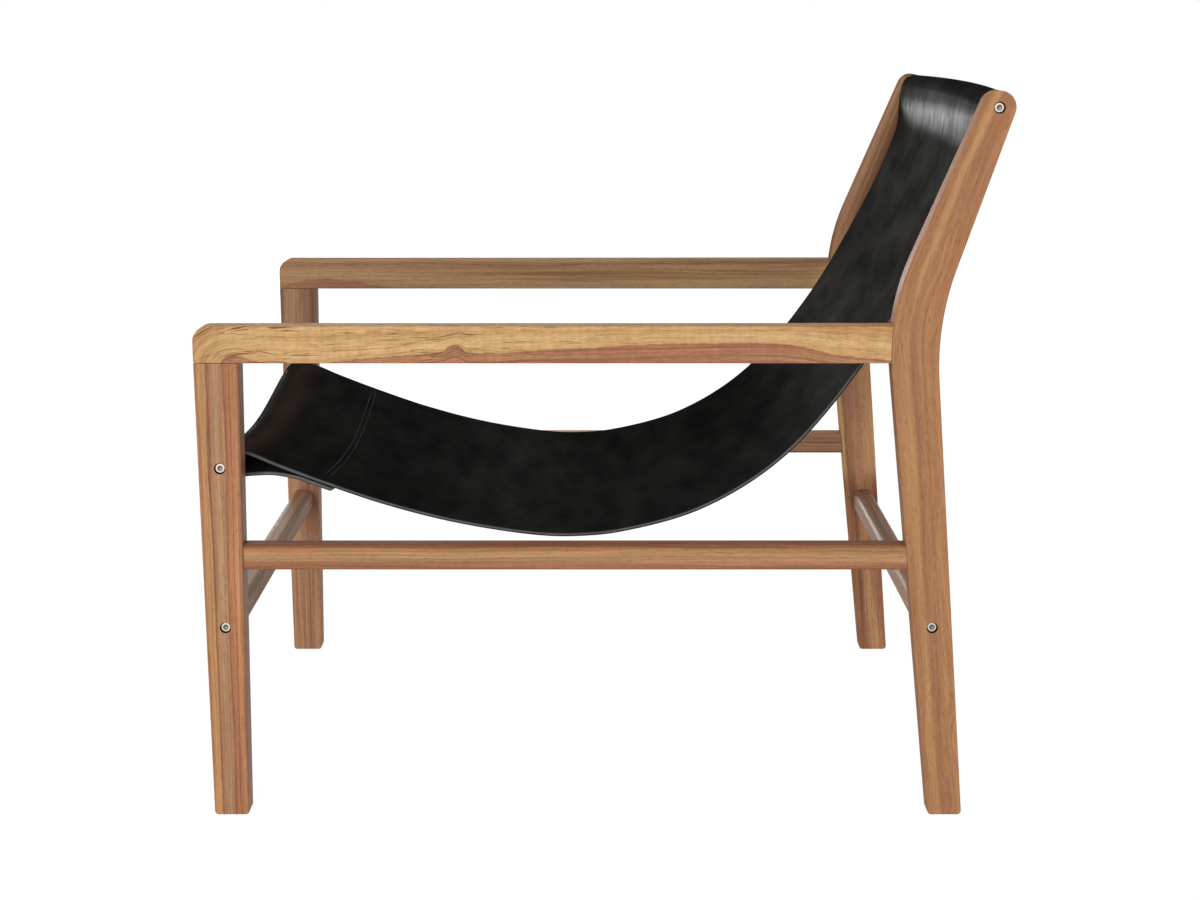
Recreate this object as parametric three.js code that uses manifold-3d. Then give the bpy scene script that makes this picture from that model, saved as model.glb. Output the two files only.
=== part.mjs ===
import * as THREE from "three";
import { mergeVertices } from "three/addons/utils/BufferGeometryUtils.js";
import Module from "manifold-3d";

const wasm = await Module();
wasm.setup();

// Sling lounge chair: two wooden side frames, four cross pieces and one hanging sheet of leather.
// Millimetres. X runs across the chair with the sitter's left at +X, the chair faces -Y, Z is up.
// Depths are measured back from the front of the armrests, heights up from the floor.

const overall_width = 614;
const overall_depth = 816;
const overall_height = 749;

// Wooden stock
const frame_thickness = 26;
const edge_radius = 1.2;
const foot_corner_radius = 4;
const joint_gap = 0.2;

// Front leg, tapering from the armrest down to the floor
const front_leg_foot_setback = 4.6;
const front_leg_foot_width = 36.1;
const front_leg_top_width = 46;

// Armrest, a straight bar lying on the front leg and butting against the rear post
const armrest_top = 516.5;
const armrest_height = 37.4;
const armrest_nose_radius = 15.5;

// Rear post, one bent piece: lower leg, bend beside the armrest, raked back post with a round end
const rear_foot_front = 752.1;
const rear_foot_width = 35.1;
const bend_front_depth = 695.2;
const bend_front_height = 528;
const bend_front_radius = 240;
const bend_width = 49.6;
const bend_back_drop = 8.2;
const bend_back_radius = 280;
const post_end_radius = 16.4;

// Side stretcher between the front leg and the rear post
const side_stretcher_bottom = 264.5;
const side_stretcher_height = 26.5;
const side_stretcher_thickness = 24;
const side_stretcher_edge_radius = 4;

// Cross stretchers below the seat
const cross_stretcher_depth = 24;
const cross_stretcher_height = 26;
const cross_stretcher_corner_radius = 7;
const cross_stretcher_level = 203.5;

// Bowed rails that carry the leather
const front_rail_centre_height = 371;
const front_rail_radius = 12;
const top_rail_radius = 11;
const front_bow_back = 9;
const front_bow_down = 8;
const top_bow_back = 12;
const top_bow_up = 1.5;

// Leather sheet
const leather_thickness = 4;
const leather_side_gap = 11;
const leather_slack = 0.6;
const flap_gap = 0.4;
const flap_length = 107;
const seat_sag = 75;

// Sitting face of the leather from the front rail to the top rail. Each row holds a share of the
// distance between the rails, a share of the sag below the front rail's centre and a share of the
// rise from the front rail's centre to the top rail's.
const sitting_shares = [
  [0.03, -0.15, 0],
  [0.067, 0.013, 0],
  [0.1325, 0.275, 0],
  [0.215, 0.569, 0],
  [0.309, 0.821, 0],
  [0.4165, 0.992, 0],
  [0.47, 1, 0],
  [0.523, 0.939, 0],
  [0.6285, 0.621, 0],
  [0.733, 0, 0.0155],
  [0.8345, 0, 0.2755],
  [0.9195, 0, 0.584],
  [0.9585, 0, 0.761],
  [0.9755, 0, 0.871],
  [0.979, 0, 0.9375],
];

// Lower face of the flap between the front rail and the doubled leather: shares of the flap's
// length behind the rail's centre, and of the rolled leather's radius below it.
const flap_shares = [
  [0.613, 1.012],
  [0.441, 0.831],
  [0.274, 0.849],
];

// Joinery and hardware
const tenon_thickness = 8;
const tenon_width = 22;
const tenon_length = 40;
const stretcher_tenon_width = 16;
const tenon_slack = 0.2;
const tenon_bolt_gap = 4;
const bolt_head_diameter = 10;
const bolt_head_height = 6;
const bolt_hex_across_flats = 5;
const bolt_hex_depth = 3;
const bolt_shank_diameter = 6;
const bolt_reach = 20;
const bolt_recess = 2.6;
const counterbore_gap = 0.6;
const bolt_clearance = 0.2;
const insert_diameter = 10;
const insert_length = 16;
const insert_rib_depth = 0.6;
const insert_ribs = 2;
const insert_slack = 0.15;
const insert_setback = 0.4;
const bore_extra_depth = 3;
const tack_count = 9;
const tack_edge_margin = 30;
const tack_head_diameter = 8;
const tack_head_height = 2.2;
const tack_shank_diameter = 2;
const tack_shank_length = 12;
const tack_slack = 0.25;
const tack_angle = -48;
const leather_end_angle = -80;
const top_neck_height = 110;

// Vertices nearer to each other than this are one
const weld_distance = 1e-3;

const half_inside = overall_width / 2 - frame_thickness;
const armrest_bottom = armrest_top - armrest_height;
const top_rail_centre_depth = overall_depth - post_end_radius;
const top_rail_centre_height = overall_height - post_end_radius;
const side_stretcher_top = side_stretcher_bottom + side_stretcher_height;
const leather_width = 2 * (half_inside - leather_side_gap);
const tack_pitch = (leather_width - 2 * tack_edge_margin) / (tack_count - 1);

const wood = (name, colour) =>
  new THREE.MeshStandardMaterial({ name, color: colour, roughness: 0.55, metalness: 0 });
const leg_wood = wood("leg_wood", "#b07d55");
const arm_wood = wood("arm_wood", "#c2905f");
const stretcher_wood = wood("stretcher_wood", "#ab7a52");
const rail_wood = wood("rail_wood", "#3a2c22");
const tenon_wood = wood("tenon_wood", "#cda874");
const leather_material = new THREE.MeshStandardMaterial({
  name: "black_leather", color: "#1c1b19", roughness: 0.5, metalness: 0,
});
const bolt_steel = new THREE.MeshStandardMaterial({
  name: "bolt_steel", color: "#b9b6ae", roughness: 0.35, metalness: 1,
});
const insert_metal = new THREE.MeshStandardMaterial({
  name: "insert_metal", color: "#a89468", roughness: 0.45, metalness: 1,
});
const tack_metal = new THREE.MeshStandardMaterial({
  name: "tack_metal", color: "#55504a", roughness: 0.45, metalness: 1,
});

// Turns a drawing in depth and height, extruded upwards, so that it is extruded across the chair.
const across = new THREE.Matrix4().makeBasis(
  new THREE.Vector3(0, 1, 0),
  new THREE.Vector3(0, 0, 1),
  new THREE.Vector3(1, 0, 0),
);

function solid(geometry) {
  const bare = geometry.index ? geometry.toNonIndexed() : geometry.clone();
  bare.deleteAttribute("normal");
  bare.deleteAttribute("uv");
  const merged = mergeVertices(bare, weld_distance);
  return new wasm.Manifold(
    new wasm.Mesh({
      numProp: 3,
      vertProperties: new Float32Array(merged.attributes.position.array),
      triVerts: new Uint32Array(merged.index.array),
    }),
  );
}

function geometryOf(manifold) {
  const mesh = manifold.getMesh();
  const places = new Float32Array(mesh.numVert * 3);
  for (let i = 0; i < mesh.numVert; i++) {
    for (let k = 0; k < 3; k++) {
      places[i * 3 + k] = mesh.vertProperties[i * mesh.numProp + k];
    }
  }
  const geometry = new THREE.BufferGeometry();
  geometry.setAttribute("position", new THREE.BufferAttribute(places, 3));
  geometry.setIndex(new THREE.BufferAttribute(mesh.triVerts, 1));
  const flat = geometry.toNonIndexed();
  flat.computeVertexNormals();
  return flat;
}

function cut(body, cutters) {
  return cutters.reduce((left, cutter) => left.subtract(cutter), body);
}

// Points along an arc that rounds the corner between two straight edges. The arc is no longer than
// the edges that it joins.
function roundedCorner(before, corner, after, wanted_radius, steps) {
  const room = Math.min(before.distanceTo(corner), after.distanceTo(corner));
  const back = before.clone().sub(corner).normalize();
  const ahead = after.clone().sub(corner).normalize();
  const half = Math.acos(THREE.MathUtils.clamp(back.dot(ahead), -1, 1)) / 2;
  const reach = Math.min(wanted_radius / Math.tan(half), room);
  const radius = reach * Math.tan(half);
  const bisector = back.clone().add(ahead).normalize();
  const centre = corner.clone().addScaledVector(bisector, radius / Math.sin(half));
  const start = corner.clone().addScaledVector(back, reach).sub(centre);
  const end = corner.clone().addScaledVector(ahead, reach).sub(centre);
  const from = Math.atan2(start.y, start.x);
  let sweep = Math.atan2(end.y, end.x) - from;
  sweep = Math.atan2(Math.sin(sweep), Math.cos(sweep));
  const points = [];
  for (let i = 0; i <= steps; i++) {
    const angle = from + (sweep * i) / steps;
    points.push(new THREE.Vector2(Math.cos(angle), Math.sin(angle)).multiplyScalar(radius).add(centre));
  }
  return points;
}

// A closed outline whose corners are [depth, height] or [depth, height, radius, steps].
function outline(corners) {
  const at = corners.map(([depth, height]) => new THREE.Vector2(depth, height));
  const count = corners.length;
  return corners.flatMap(([, , radius, steps], i) =>
    radius
      ? roundedCorner(at[(i + count - 1) % count], at[i], at[(i + 1) % count], radius, steps)
      : [at[i]],
  );
}

// A board cut to an outline, with its long edges rounded over, centred on the given place across.
function board(points, thickness, rounding, place) {
  const geometry = new THREE.ExtrudeGeometry(new THREE.Shape(points), {
    depth: thickness - 2 * rounding,
    bevelEnabled: rounding > 0,
    bevelThickness: rounding,
    bevelSize: rounding,
    bevelOffset: -rounding,
    bevelSegments: 2,
    curveSegments: 1,
  });
  geometry.translate(0, 0, rounding - thickness / 2);
  geometry.applyMatrix4(across);
  geometry.translate(place, 0, 0);
  return geometry;
}

function rod(radius, length, sides) {
  const geometry = new THREE.CylinderGeometry(radius, radius, length, sides);
  geometry.rotateZ(-Math.PI / 2);
  return geometry;
}

// Where a straight line from a point touches a circle, on the left or right of the way to its centre.
function tangentPoint(from, centre, radius, side) {
  const way = centre.clone().sub(from);
  const reach = Math.sqrt(way.lengthSq() - radius * radius);
  const turn = Math.asin(radius / way.length()) * side;
  return way.normalize().rotateAround(new THREE.Vector2(), turn).multiplyScalar(reach).add(from);
}

// Side frame, drawn for the sitter's left and mirrored for the right.

const frame_centre = half_inside + frame_thickness / 2;
const outer_face = overall_width / 2;

const front_leg_outline = (top) => {
  const slope_front = front_leg_foot_setback / armrest_bottom;
  const slope_back =
    (front_leg_top_width - front_leg_foot_setback - front_leg_foot_width) / armrest_bottom;
  const foot_back = front_leg_foot_setback + front_leg_foot_width;
  return outline([
    [front_leg_foot_setback, 0, foot_corner_radius, 2],
    [foot_back, 0, foot_corner_radius, 2],
    [foot_back + slope_back * top, top],
    [front_leg_foot_setback - slope_front * top, top],
  ]);
};

const rear_post_outline = () => {
  const end = new THREE.Vector2(top_rail_centre_depth, top_rail_centre_height);
  const bend_front = new THREE.Vector2(bend_front_depth, bend_front_height);
  const bend_back = bend_front.clone().add(new THREE.Vector2(bend_width, -bend_back_drop));
  const foot_front = new THREE.Vector2(rear_foot_front, 0);
  const foot_back = new THREE.Vector2(rear_foot_front + rear_foot_width, 0);
  const back_touch = tangentPoint(bend_back, end, post_end_radius, -1);
  const front_touch = tangentPoint(bend_front, end, post_end_radius, 1);
  const from = back_touch.clone().sub(end).angle();
  const sweep = front_touch.clone().sub(end).angle() - from;
  const points = [];
  points.push(...roundedCorner(bend_front, foot_front, foot_back, foot_corner_radius, 2));
  points.push(...roundedCorner(foot_front, foot_back, bend_back, foot_corner_radius, 2));
  points.push(...roundedCorner(foot_back, bend_back, back_touch, bend_back_radius, 7));
  const end_steps = 10;
  const full_sweep = sweep > 0 ? sweep : sweep + 2 * Math.PI;
  for (let i = 0; i <= end_steps; i++) {
    const angle = from + (full_sweep * i) / end_steps;
    points.push(
      new THREE.Vector2(Math.cos(angle), Math.sin(angle)).multiplyScalar(post_end_radius).add(end),
    );
  }
  points.push(...roundedCorner(front_touch, bend_front, foot_front, bend_front_radius, 7));
  return points;
};

const legPoints = front_leg_outline(armrest_bottom + edge_radius * 2);
const postPoints = rear_post_outline();

// Cutters: the leg and the post as plain slabs, moved by the joint gap towards their neighbour.
const slab_thickness = frame_thickness * 2;
const legCutter = solid(board(legPoints, slab_thickness, 0, frame_centre).translate(0, joint_gap, 0));
const postCutter = solid(board(postPoints, slab_thickness, 0, frame_centre).translate(0, -joint_gap, 0));

// A block for trimming, between two depths and two heights.
function block(depth0, depth1, height0, height1) {
  const geometry = new THREE.BoxGeometry(slab_thickness, depth1 - depth0, height1 - height0);
  geometry.translate(frame_centre, (depth0 + depth1) / 2, (height0 + height1) / 2);
  return solid(geometry);
}

// Where an upright's front and back edges are at a height.
function edgesAt(points, height) {
  const hits = [];
  points.forEach((a, i) => {
    const b = points[(i + 1) % points.length];
    if ((a.y - height) * (b.y - height) <= 0 && a.y !== b.y) {
      hits.push(a.x + ((height - a.y) / (b.y - a.y)) * (b.x - a.x));
    }
  });
  return { front: Math.min(...hits), back: Math.max(...hits) };
}
const middleAt = (points, height) => {
  const { front, back } = edgesAt(points, height);
  return (front + back) / 2;
};

// Loose tenons: flat pegs with rounded edges, half in each of two joined pieces.
// Each is [depth, height, turn, width, length], where the turn lifts its length from the depth axis.
// The one in the top of the front leg stops short of the front rail's bolt.

const armrest_middle = (armrest_top + armrest_bottom) / 2;
const stretcher_middle = (side_stretcher_bottom + side_stretcher_top) / 2;
const leg_room =
  armrest_bottom - front_rail_centre_height - bolt_shank_diameter / 2 - tenon_bolt_gap;
const leg_tenon_length = 2 * Math.min(tenon_length / 2, leg_room);
const arm_post_seam = edgesAt(postPoints, armrest_middle).front;
const leg_stretcher_seam = edgesAt(legPoints, stretcher_middle).back;
const stretcher_post_seam = edgesAt(postPoints, stretcher_middle).front;
const tenons = {
  arm_leg_tenon: [
    front_leg_top_width / 2, armrest_bottom, Math.PI / 2, tenon_width, leg_tenon_length,
  ],
  arm_post_tenon: [arm_post_seam, armrest_middle, 0, tenon_width, tenon_length],
  stretcher_leg_tenon: [
    leg_stretcher_seam, stretcher_middle, 0, stretcher_tenon_width, tenon_length,
  ],
  stretcher_post_tenon: [
    stretcher_post_seam, stretcher_middle, 0, stretcher_tenon_width, tenon_length,
  ],
};

function tenon([depth, height, turn, width, peg_length], slack) {
  const thickness = tenon_thickness + 2 * slack;
  const broad = width + 2 * slack;
  const flat = (broad - thickness) / 2;
  const corners = outline([
    [-thickness / 2, -flat - thickness / 2, thickness / 2 - slack / 2, 4],
    [thickness / 2, -flat - thickness / 2, thickness / 2 - slack / 2, 4],
    [thickness / 2, flat + thickness / 2, thickness / 2 - slack / 2, 4],
    [-thickness / 2, flat + thickness / 2, thickness / 2 - slack / 2, 4],
  ]);
  const length = peg_length + 4 * slack;
  const geometry = new THREE.ExtrudeGeometry(new THREE.Shape(corners), {
    depth: length, bevelEnabled: false, curveSegments: 1,
  });
  geometry.translate(0, 0, -length / 2);
  // The peg's length lies along the depth axis before it is turned.
  geometry.rotateX(-Math.PI / 2);
  geometry.rotateX(turn);
  geometry.translate(frame_centre, depth, height);
  return geometry;
}
const mortises = Object.fromEntries(
  Object.entries(tenons).map(([name, place]) => [name, solid(tenon(place, tenon_slack))]),
);

// Bolts: each goes through the side frame into a threaded insert in the end of a cross piece.
const front_rail_centre_depth = middleAt(legPoints, front_rail_centre_height);
const bolt_places = {
  front_rail: [front_rail_centre_depth, front_rail_centre_height],
  top_rail: [top_rail_centre_depth, top_rail_centre_height],
  front_stretcher: [middleAt(legPoints, cross_stretcher_level), cross_stretcher_level],
  rear_stretcher: [middleAt(postPoints, cross_stretcher_level), cross_stretcher_level],
};
const counterbore_depth = bolt_head_height + bolt_recess;
const counterbore_radius = bolt_head_diameter / 2 + counterbore_gap;

function boltHole([depth, height]) {
  const through = rod(bolt_shank_diameter / 2 + bolt_clearance, slab_thickness, 12);
  through.translate(frame_centre, depth, height);
  const wide = rod(counterbore_radius, counterbore_depth + frame_thickness, 20);
  wide.translate(outer_face - counterbore_depth + (counterbore_depth + frame_thickness) / 2, depth, height);
  return solid(through).add(solid(wide));
}
const boltHoles = Object.fromEntries(
  Object.entries(bolt_places).map(([name, place]) => [name, boltHole(place)]),
);

function bolt([depth, height]) {
  const head_outside = outer_face - bolt_recess;
  const head = rod(bolt_head_diameter / 2, bolt_head_height, 20);
  head.translate(head_outside - bolt_head_height / 2, 0, 0);
  const shank_end = half_inside - bolt_reach;
  const shank_start = head_outside - bolt_head_height / 2;
  const shank = rod(bolt_shank_diameter / 2, shank_start - shank_end, 12);
  shank.translate((shank_start + shank_end) / 2, 0, 0);
  const socket = rod(bolt_hex_across_flats / Math.sqrt(3), 2 * bolt_hex_depth, 6);
  socket.translate(head_outside, 0, 0);
  const made = solid(head).add(solid(shank)).subtract(solid(socket));
  return geometryOf(made).translate(0, depth, height);
}

function insert([depth, height]) {
  const bore = bolt_shank_diameter / 2 + bolt_clearance;
  const radius = insert_diameter / 2;
  const pitch = insert_length / (insert_ribs * 2);
  const profile = [new THREE.Vector2(bore, 0), new THREE.Vector2(radius, 0)];
  for (let i = 0; i < insert_ribs; i++) {
    const start = pitch * (i * 2 + 1);
    profile.push(new THREE.Vector2(radius, start));
    profile.push(new THREE.Vector2(radius - insert_rib_depth, start + pitch / 2));
    profile.push(new THREE.Vector2(radius, start + pitch));
  }
  profile.push(new THREE.Vector2(bore, insert_length));
  profile.push(profile[0].clone());
  const geometry = new THREE.LatheGeometry(profile, 12);
  geometry.rotateZ(Math.PI / 2);
  geometry.translate(half_inside - insert_setback, depth, height);
  return geometry;
}

// The hole for a bolt and its insert in both ends of a cross piece.
function endBores([depth, height]) {
  const long = bolt_reach + bore_extra_depth;
  const narrow = rod(bolt_shank_diameter / 2 + bolt_clearance, 2 * long, 12);
  const wide = rod(insert_diameter / 2 + insert_slack, 2 * (insert_length + insert_setback + joint_gap), 20);
  return [-1, 1].flatMap((side) =>
    [narrow, wide].map((part) => solid(part.clone().translate(side * half_inside, depth, height))),
  );
}

const leg = cut(solid(board(legPoints, frame_thickness, edge_radius, frame_centre)), [
  block(-overall_depth, overall_depth, armrest_bottom - joint_gap, overall_height),
  mortises.arm_leg_tenon,
  mortises.stretcher_leg_tenon,
  boltHoles.front_rail,
  boltHoles.front_stretcher,
]);

const post = cut(solid(board(postPoints, frame_thickness, edge_radius, frame_centre)), [
  mortises.arm_post_tenon,
  mortises.stretcher_post_tenon,
  boltHoles.top_rail,
  boltHoles.rear_stretcher,
]);

// The armrest and the side stretcher run to the middle of each upright before they are cut to it.
const armrest_end = middleAt(postPoints, armrest_middle);
const armrest_points = outline([
  [0, armrest_bottom],
  [armrest_end, armrest_bottom],
  [armrest_end, armrest_top],
  [0, armrest_top, armrest_nose_radius, 8],
]);
const armrest = cut(solid(board(armrest_points, frame_thickness, edge_radius, frame_centre)), [
  postCutter,
  mortises.arm_leg_tenon,
  mortises.arm_post_tenon,
]);

const side_start = middleAt(legPoints, stretcher_middle);
const side_end = middleAt(postPoints, stretcher_middle);
const side_points = outline([
  [side_start, side_stretcher_bottom],
  [side_end, side_stretcher_bottom],
  [side_end, side_stretcher_top],
  [side_start, side_stretcher_top],
]);
const side_stretcher = cut(
  solid(board(side_points, side_stretcher_thickness, side_stretcher_edge_radius, frame_centre)),
  [legCutter, postCutter, mortises.stretcher_leg_tenon, mortises.stretcher_post_tenon],
);

const sidePieces = [
  ["front_leg", geometryOf(leg), leg_wood],
  ["rear_post", geometryOf(post), leg_wood],
  ["armrest", geometryOf(armrest), arm_wood],
  ["side_stretcher", geometryOf(side_stretcher), stretcher_wood],
  ...Object.entries(tenons).map(([name, place]) => [name, tenon(place, 0), tenon_wood]),
  ...Object.entries(bolt_places).flatMap(([name, place]) => [
    [name + "_bolt", bolt(place), bolt_steel],
    [name + "_insert", insert(place), insert_metal],
  ]),
];

// Cross stretchers: straight bars of rounded section between the side frames.
function crossStretcher([depth, height]) {
  const half_depth = cross_stretcher_depth / 2;
  const half_height = cross_stretcher_height / 2;
  const corner = [cross_stretcher_corner_radius, 4];
  const section = outline([
    [-half_depth, -half_height, ...corner],
    [half_depth, -half_height, ...corner],
    [half_depth, half_height, ...corner],
    [-half_depth, half_height, ...corner],
  ]);
  const length = 2 * (half_inside - joint_gap);
  const bar = new THREE.ExtrudeGeometry(new THREE.Shape(section), {
    depth: length, bevelEnabled: false, curveSegments: 1,
  });
  bar.translate(0, 0, -length / 2);
  bar.applyMatrix4(across);
  bar.translate(0, depth, height);
  return geometryOf(cut(solid(bar), endBores([depth, height])));
}

// How far a bowed piece has moved at a place across the chair, as a share of its bow.
const bowShare = (x) => 1 - (x / half_inside) ** 2;

// Round rails with a shallow bow, cut off square at the side frames.
function bowedRail([depth, height], radius, bow_back, bow_up) {
  const past = half_inside + radius;
  const at_end = bowShare(past);
  const path = new THREE.QuadraticBezierCurve3(
    new THREE.Vector3(-past, bow_back * at_end, bow_up * at_end),
    new THREE.Vector3(0, bow_back * (2 - at_end), bow_up * (2 - at_end)),
    new THREE.Vector3(past, bow_back * at_end, bow_up * at_end),
  );
  const section = new THREE.Shape(
    Array.from({ length: 20 }, (unused, i) => {
      const angle = (i / 20) * 2 * Math.PI;
      return new THREE.Vector2(radius * Math.cos(angle), radius * Math.sin(angle));
    }),
  );
  const bar = new THREE.ExtrudeGeometry(section, { steps: 12, extrudePath: path, curveSegments: 1 });
  bar.translate(0, depth, height);
  const span = new THREE.BoxGeometry(
    2 * (half_inside - joint_gap),
    overall_depth,
    overall_height,
  );
  span.translate(0, depth, height);
  return cut(solid(bar).intersect(solid(span)), endBores([depth, height]));
}

// Tacks that hold the top end of the leather under the back of the top rail.
const top_outer = top_rail_radius + leather_slack + leather_thickness;
const tack_way = THREE.MathUtils.degToRad(tack_angle);
const tack_direction = new THREE.Vector3(0, Math.cos(tack_way), Math.sin(tack_way));
const tack_places = Array.from(
  { length: tack_count },
  (unused, i) => (i - (tack_count - 1) / 2) * tack_pitch,
);

function alongTack(geometry, x, distance) {
  const turn = new THREE.Quaternion().setFromUnitVectors(new THREE.Vector3(0, 1, 0), tack_direction);
  geometry.applyQuaternion(turn);
  const share = bowShare(x);
  geometry.translate(
    x,
    top_rail_centre_depth + top_bow_back * share + tack_direction.y * distance,
    top_rail_centre_height + top_bow_up * share + tack_direction.z * distance,
  );
  return geometry;
}

function tack(x) {
  const head = tack_head_diameter / 2;
  const shank = tack_shank_diameter / 2;
  const profile = [
    new THREE.Vector2(0, -tack_shank_length),
    new THREE.Vector2(shank, -tack_shank_length + 3 * shank),
    new THREE.Vector2(shank, 0),
    new THREE.Vector2(head, 0),
    new THREE.Vector2(head * Math.cos(Math.PI / 6), tack_head_height / 2),
    new THREE.Vector2(head / 2, tack_head_height * Math.cos(Math.PI / 6)),
    new THREE.Vector2(0, tack_head_height),
  ];
  return alongTack(new THREE.LatheGeometry(profile, 8), x, top_outer + tack_slack * 2);
}

function tackHole(x) {
  const radius = tack_shank_diameter / 2 + tack_slack;
  const long = tack_shank_length + leather_thickness;
  const hole = new THREE.CylinderGeometry(radius, radius, 2 * long, 6);
  return solid(alongTack(hole, x, top_outer + leather_thickness));
}
const tackHoles = tack_places.map(tackHole);

const front_rail = geometryOf(
  bowedRail(bolt_places.front_rail, front_rail_radius, front_bow_back, -front_bow_down),
);
const top_rail = geometryOf(
  cut(bowedRail(bolt_places.top_rail, top_rail_radius, top_bow_back, top_bow_up), tackHoles),
);

// Leather: one sheet. Its outer face runs from the flap's end under the front rail, round the rail,
// down the seat, up the back, over the top rail and down behind it.
function leatherFace() {
  const front_outer = front_rail_radius + leather_slack + leather_thickness;
  const front_centre = new THREE.Vector2(front_rail_centre_depth, front_rail_centre_height);
  const top_centre = new THREE.Vector2(top_rail_centre_depth, top_rail_centre_height);
  // Points around a rail's centre from one angle to another, in degrees.
  const arc = (centre, radius, from, to, steps) =>
    Array.from({ length: steps + 1 }, (unused, i) => {
      const angle = THREE.MathUtils.degToRad(THREE.MathUtils.lerp(from, to, i / steps));
      return new THREE.Vector2(Math.cos(angle), Math.sin(angle)).multiplyScalar(radius).add(centre);
    });
  // The angle at which leather that comes from a point first touches the circle round a rail.
  const touchAngle = ([depth, height], centre, radius, side) => {
    const touch = tangentPoint(new THREE.Vector2(depth, height), centre, radius, side);
    return THREE.MathUtils.radToDeg(touch.sub(centre).angle());
  };
  const curve = (points, steps) =>
    new THREE.CatmullRomCurve3(
      points.map(([depth, height]) => new THREE.Vector3(depth, height, 0)),
      false,
      "centripetal",
    ).getSpacedPoints(steps).map((p) => new THREE.Vector2(p.x, p.y));
  const rise = top_rail_centre_height - front_rail_centre_height;
  const run = top_rail_centre_depth - front_rail_centre_depth;
  const sitting_line = sitting_shares.map(([run_share, sag_share, rise_share]) => [
    front_rail_centre_depth + run * run_share,
    front_rail_centre_height - seat_sag * sag_share + rise * rise_share,
  ]);
  const flap_end_depth = front_rail_centre_depth + flap_length;
  const flap_line = flap_shares.map(([length_share, drop_share]) => [
    front_rail_centre_depth + flap_length * length_share,
    front_rail_centre_height - front_outer * drop_share,
  ]);
  const flap_touch = touchAngle(flap_line[flap_line.length - 1], front_centre, front_outer, 1);
  const seat_touch = touchAngle(sitting_line[0], front_centre, front_outer, -1);
  const back_touch = touchAngle(sitting_line[sitting_line.length - 1], top_centre, top_outer, 1);
  const round_front = arc(front_centre, front_outer, flap_touch, seat_touch, 9);
  const round_top = arc(top_centre, top_outer, back_touch, leather_end_angle, 13);
  // The sitting face is drawn in three stretches, with closer steps towards both rails.
  const sitting_start = round_front[round_front.length - 1].toArray();
  const whole = curve([sitting_start, ...sitting_line, round_top[0].toArray()], 400);
  const flap_at = whole.findIndex((p) => p.x > flap_end_depth);
  const neck_at = whole.findIndex((p) => p.y > top_rail_centre_height - top_neck_height);
  const stretch = (from, to, steps) =>
    Array.from({ length: steps }, (unused, i) => whole[Math.round(from + ((to - from) * i) / steps)]);
  const sitting = [
    ...stretch(0, flap_at, 7),
    ...stretch(flap_at, neck_at, 14),
    ...stretch(neck_at, whole.length - 1, 6),
    whole[whole.length - 1],
  ];
  // Doubled part: the flap follows the seat at a distance of two thicknesses and a small gap.
  const apart = 2 * leather_thickness + flap_gap;
  const doubled = [];
  sitting.forEach((p, i) => {
    if (i === 0 || i > 7) return;
    const way = sitting[i + 1].clone().sub(sitting[i - 1]).normalize();
    const below = p.clone().add(new THREE.Vector2(way.y, -way.x).multiplyScalar(apart));
    if (below.x > flap_line[0][0] + leather_thickness) doubled.unshift(below);
  });
  const free = curve([doubled[doubled.length - 1].toArray(), ...flap_line, round_front[0].toArray()], 6);
  return [...doubled.slice(0, -1), ...free.slice(0, -1), ...round_front.slice(0, -1),
    ...sitting.slice(0, -1), ...round_top];
}

function leatherSheet() {
  const outer = leatherFace();
  const inner = outer.map((p, i) => {
    const before = outer[Math.max(i - 1, 0)];
    const after = outer[Math.min(i + 1, outer.length - 1)];
    const way = after.clone().sub(before).normalize();
    return p.clone().add(new THREE.Vector2(way.y, -way.x).multiplyScalar(leather_thickness));
  });
  const lengths = [0];
  for (let i = 1; i < outer.length; i++) {
    lengths.push(lengths[i - 1] + outer[i].distanceTo(outer[i - 1]));
  }
  // The bow changes from the front rail's to the top rail's along the sheet between them.
  const seat_start = outer.findIndex((p) => p.y > front_rail_centre_height + front_rail_radius);
  const seat_end = outer.findIndex((p) => p.y > top_rail_centre_height - top_rail_radius);
  const bowAt = (i) => {
    const along = (lengths[i] - lengths[seat_start]) / (lengths[seat_end] - lengths[seat_start]);
    const share = THREE.MathUtils.clamp(along, 0, 1);
    return [
      THREE.MathUtils.lerp(front_bow_back, top_bow_back, share),
      THREE.MathUtils.lerp(-front_bow_down, top_bow_up, share),
    ];
  };
  const columns = 8;
  const rows = outer.length;
  const places = [];
  for (const face of [outer, inner]) {
    for (let j = 0; j <= columns; j++) {
      const x = leather_width * (j / columns - 1 / 2);
      face.forEach((p, i) => {
        const [back, up] = bowAt(i);
        places.push(x, p.x + back * bowShare(x), p.y + up * bowShare(x));
      });
    }
  }
  const index = (face, j, i) => face * (columns + 1) * rows + j * rows + i;
  const triangles = [];
  const quad = (a, b, c, d) => triangles.push(a, b, c, a, c, d);
  for (let j = 0; j < columns; j++) {
    for (let i = 0; i < rows - 1; i++) {
      quad(index(0, j, i), index(0, j + 1, i), index(0, j + 1, i + 1), index(0, j, i + 1));
      quad(index(1, j, i), index(1, j, i + 1), index(1, j + 1, i + 1), index(1, j + 1, i));
    }
    quad(index(0, j, 0), index(1, j, 0), index(1, j + 1, 0), index(0, j + 1, 0));
    const end = rows - 1;
    quad(index(0, j, end), index(0, j + 1, end), index(1, j + 1, end), index(1, j, end));
  }
  for (let i = 0; i < rows - 1; i++) {
    quad(index(0, 0, i), index(0, 0, i + 1), index(1, 0, i + 1), index(1, 0, i));
    quad(
      index(0, columns, i),
      index(1, columns, i),
      index(1, columns, i + 1),
      index(0, columns, i + 1),
    );
  }
  const geometry = new THREE.BufferGeometry();
  geometry.setAttribute("position", new THREE.Float32BufferAttribute(places, 3));
  geometry.setIndex(triangles);
  return geometry;
}

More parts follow.
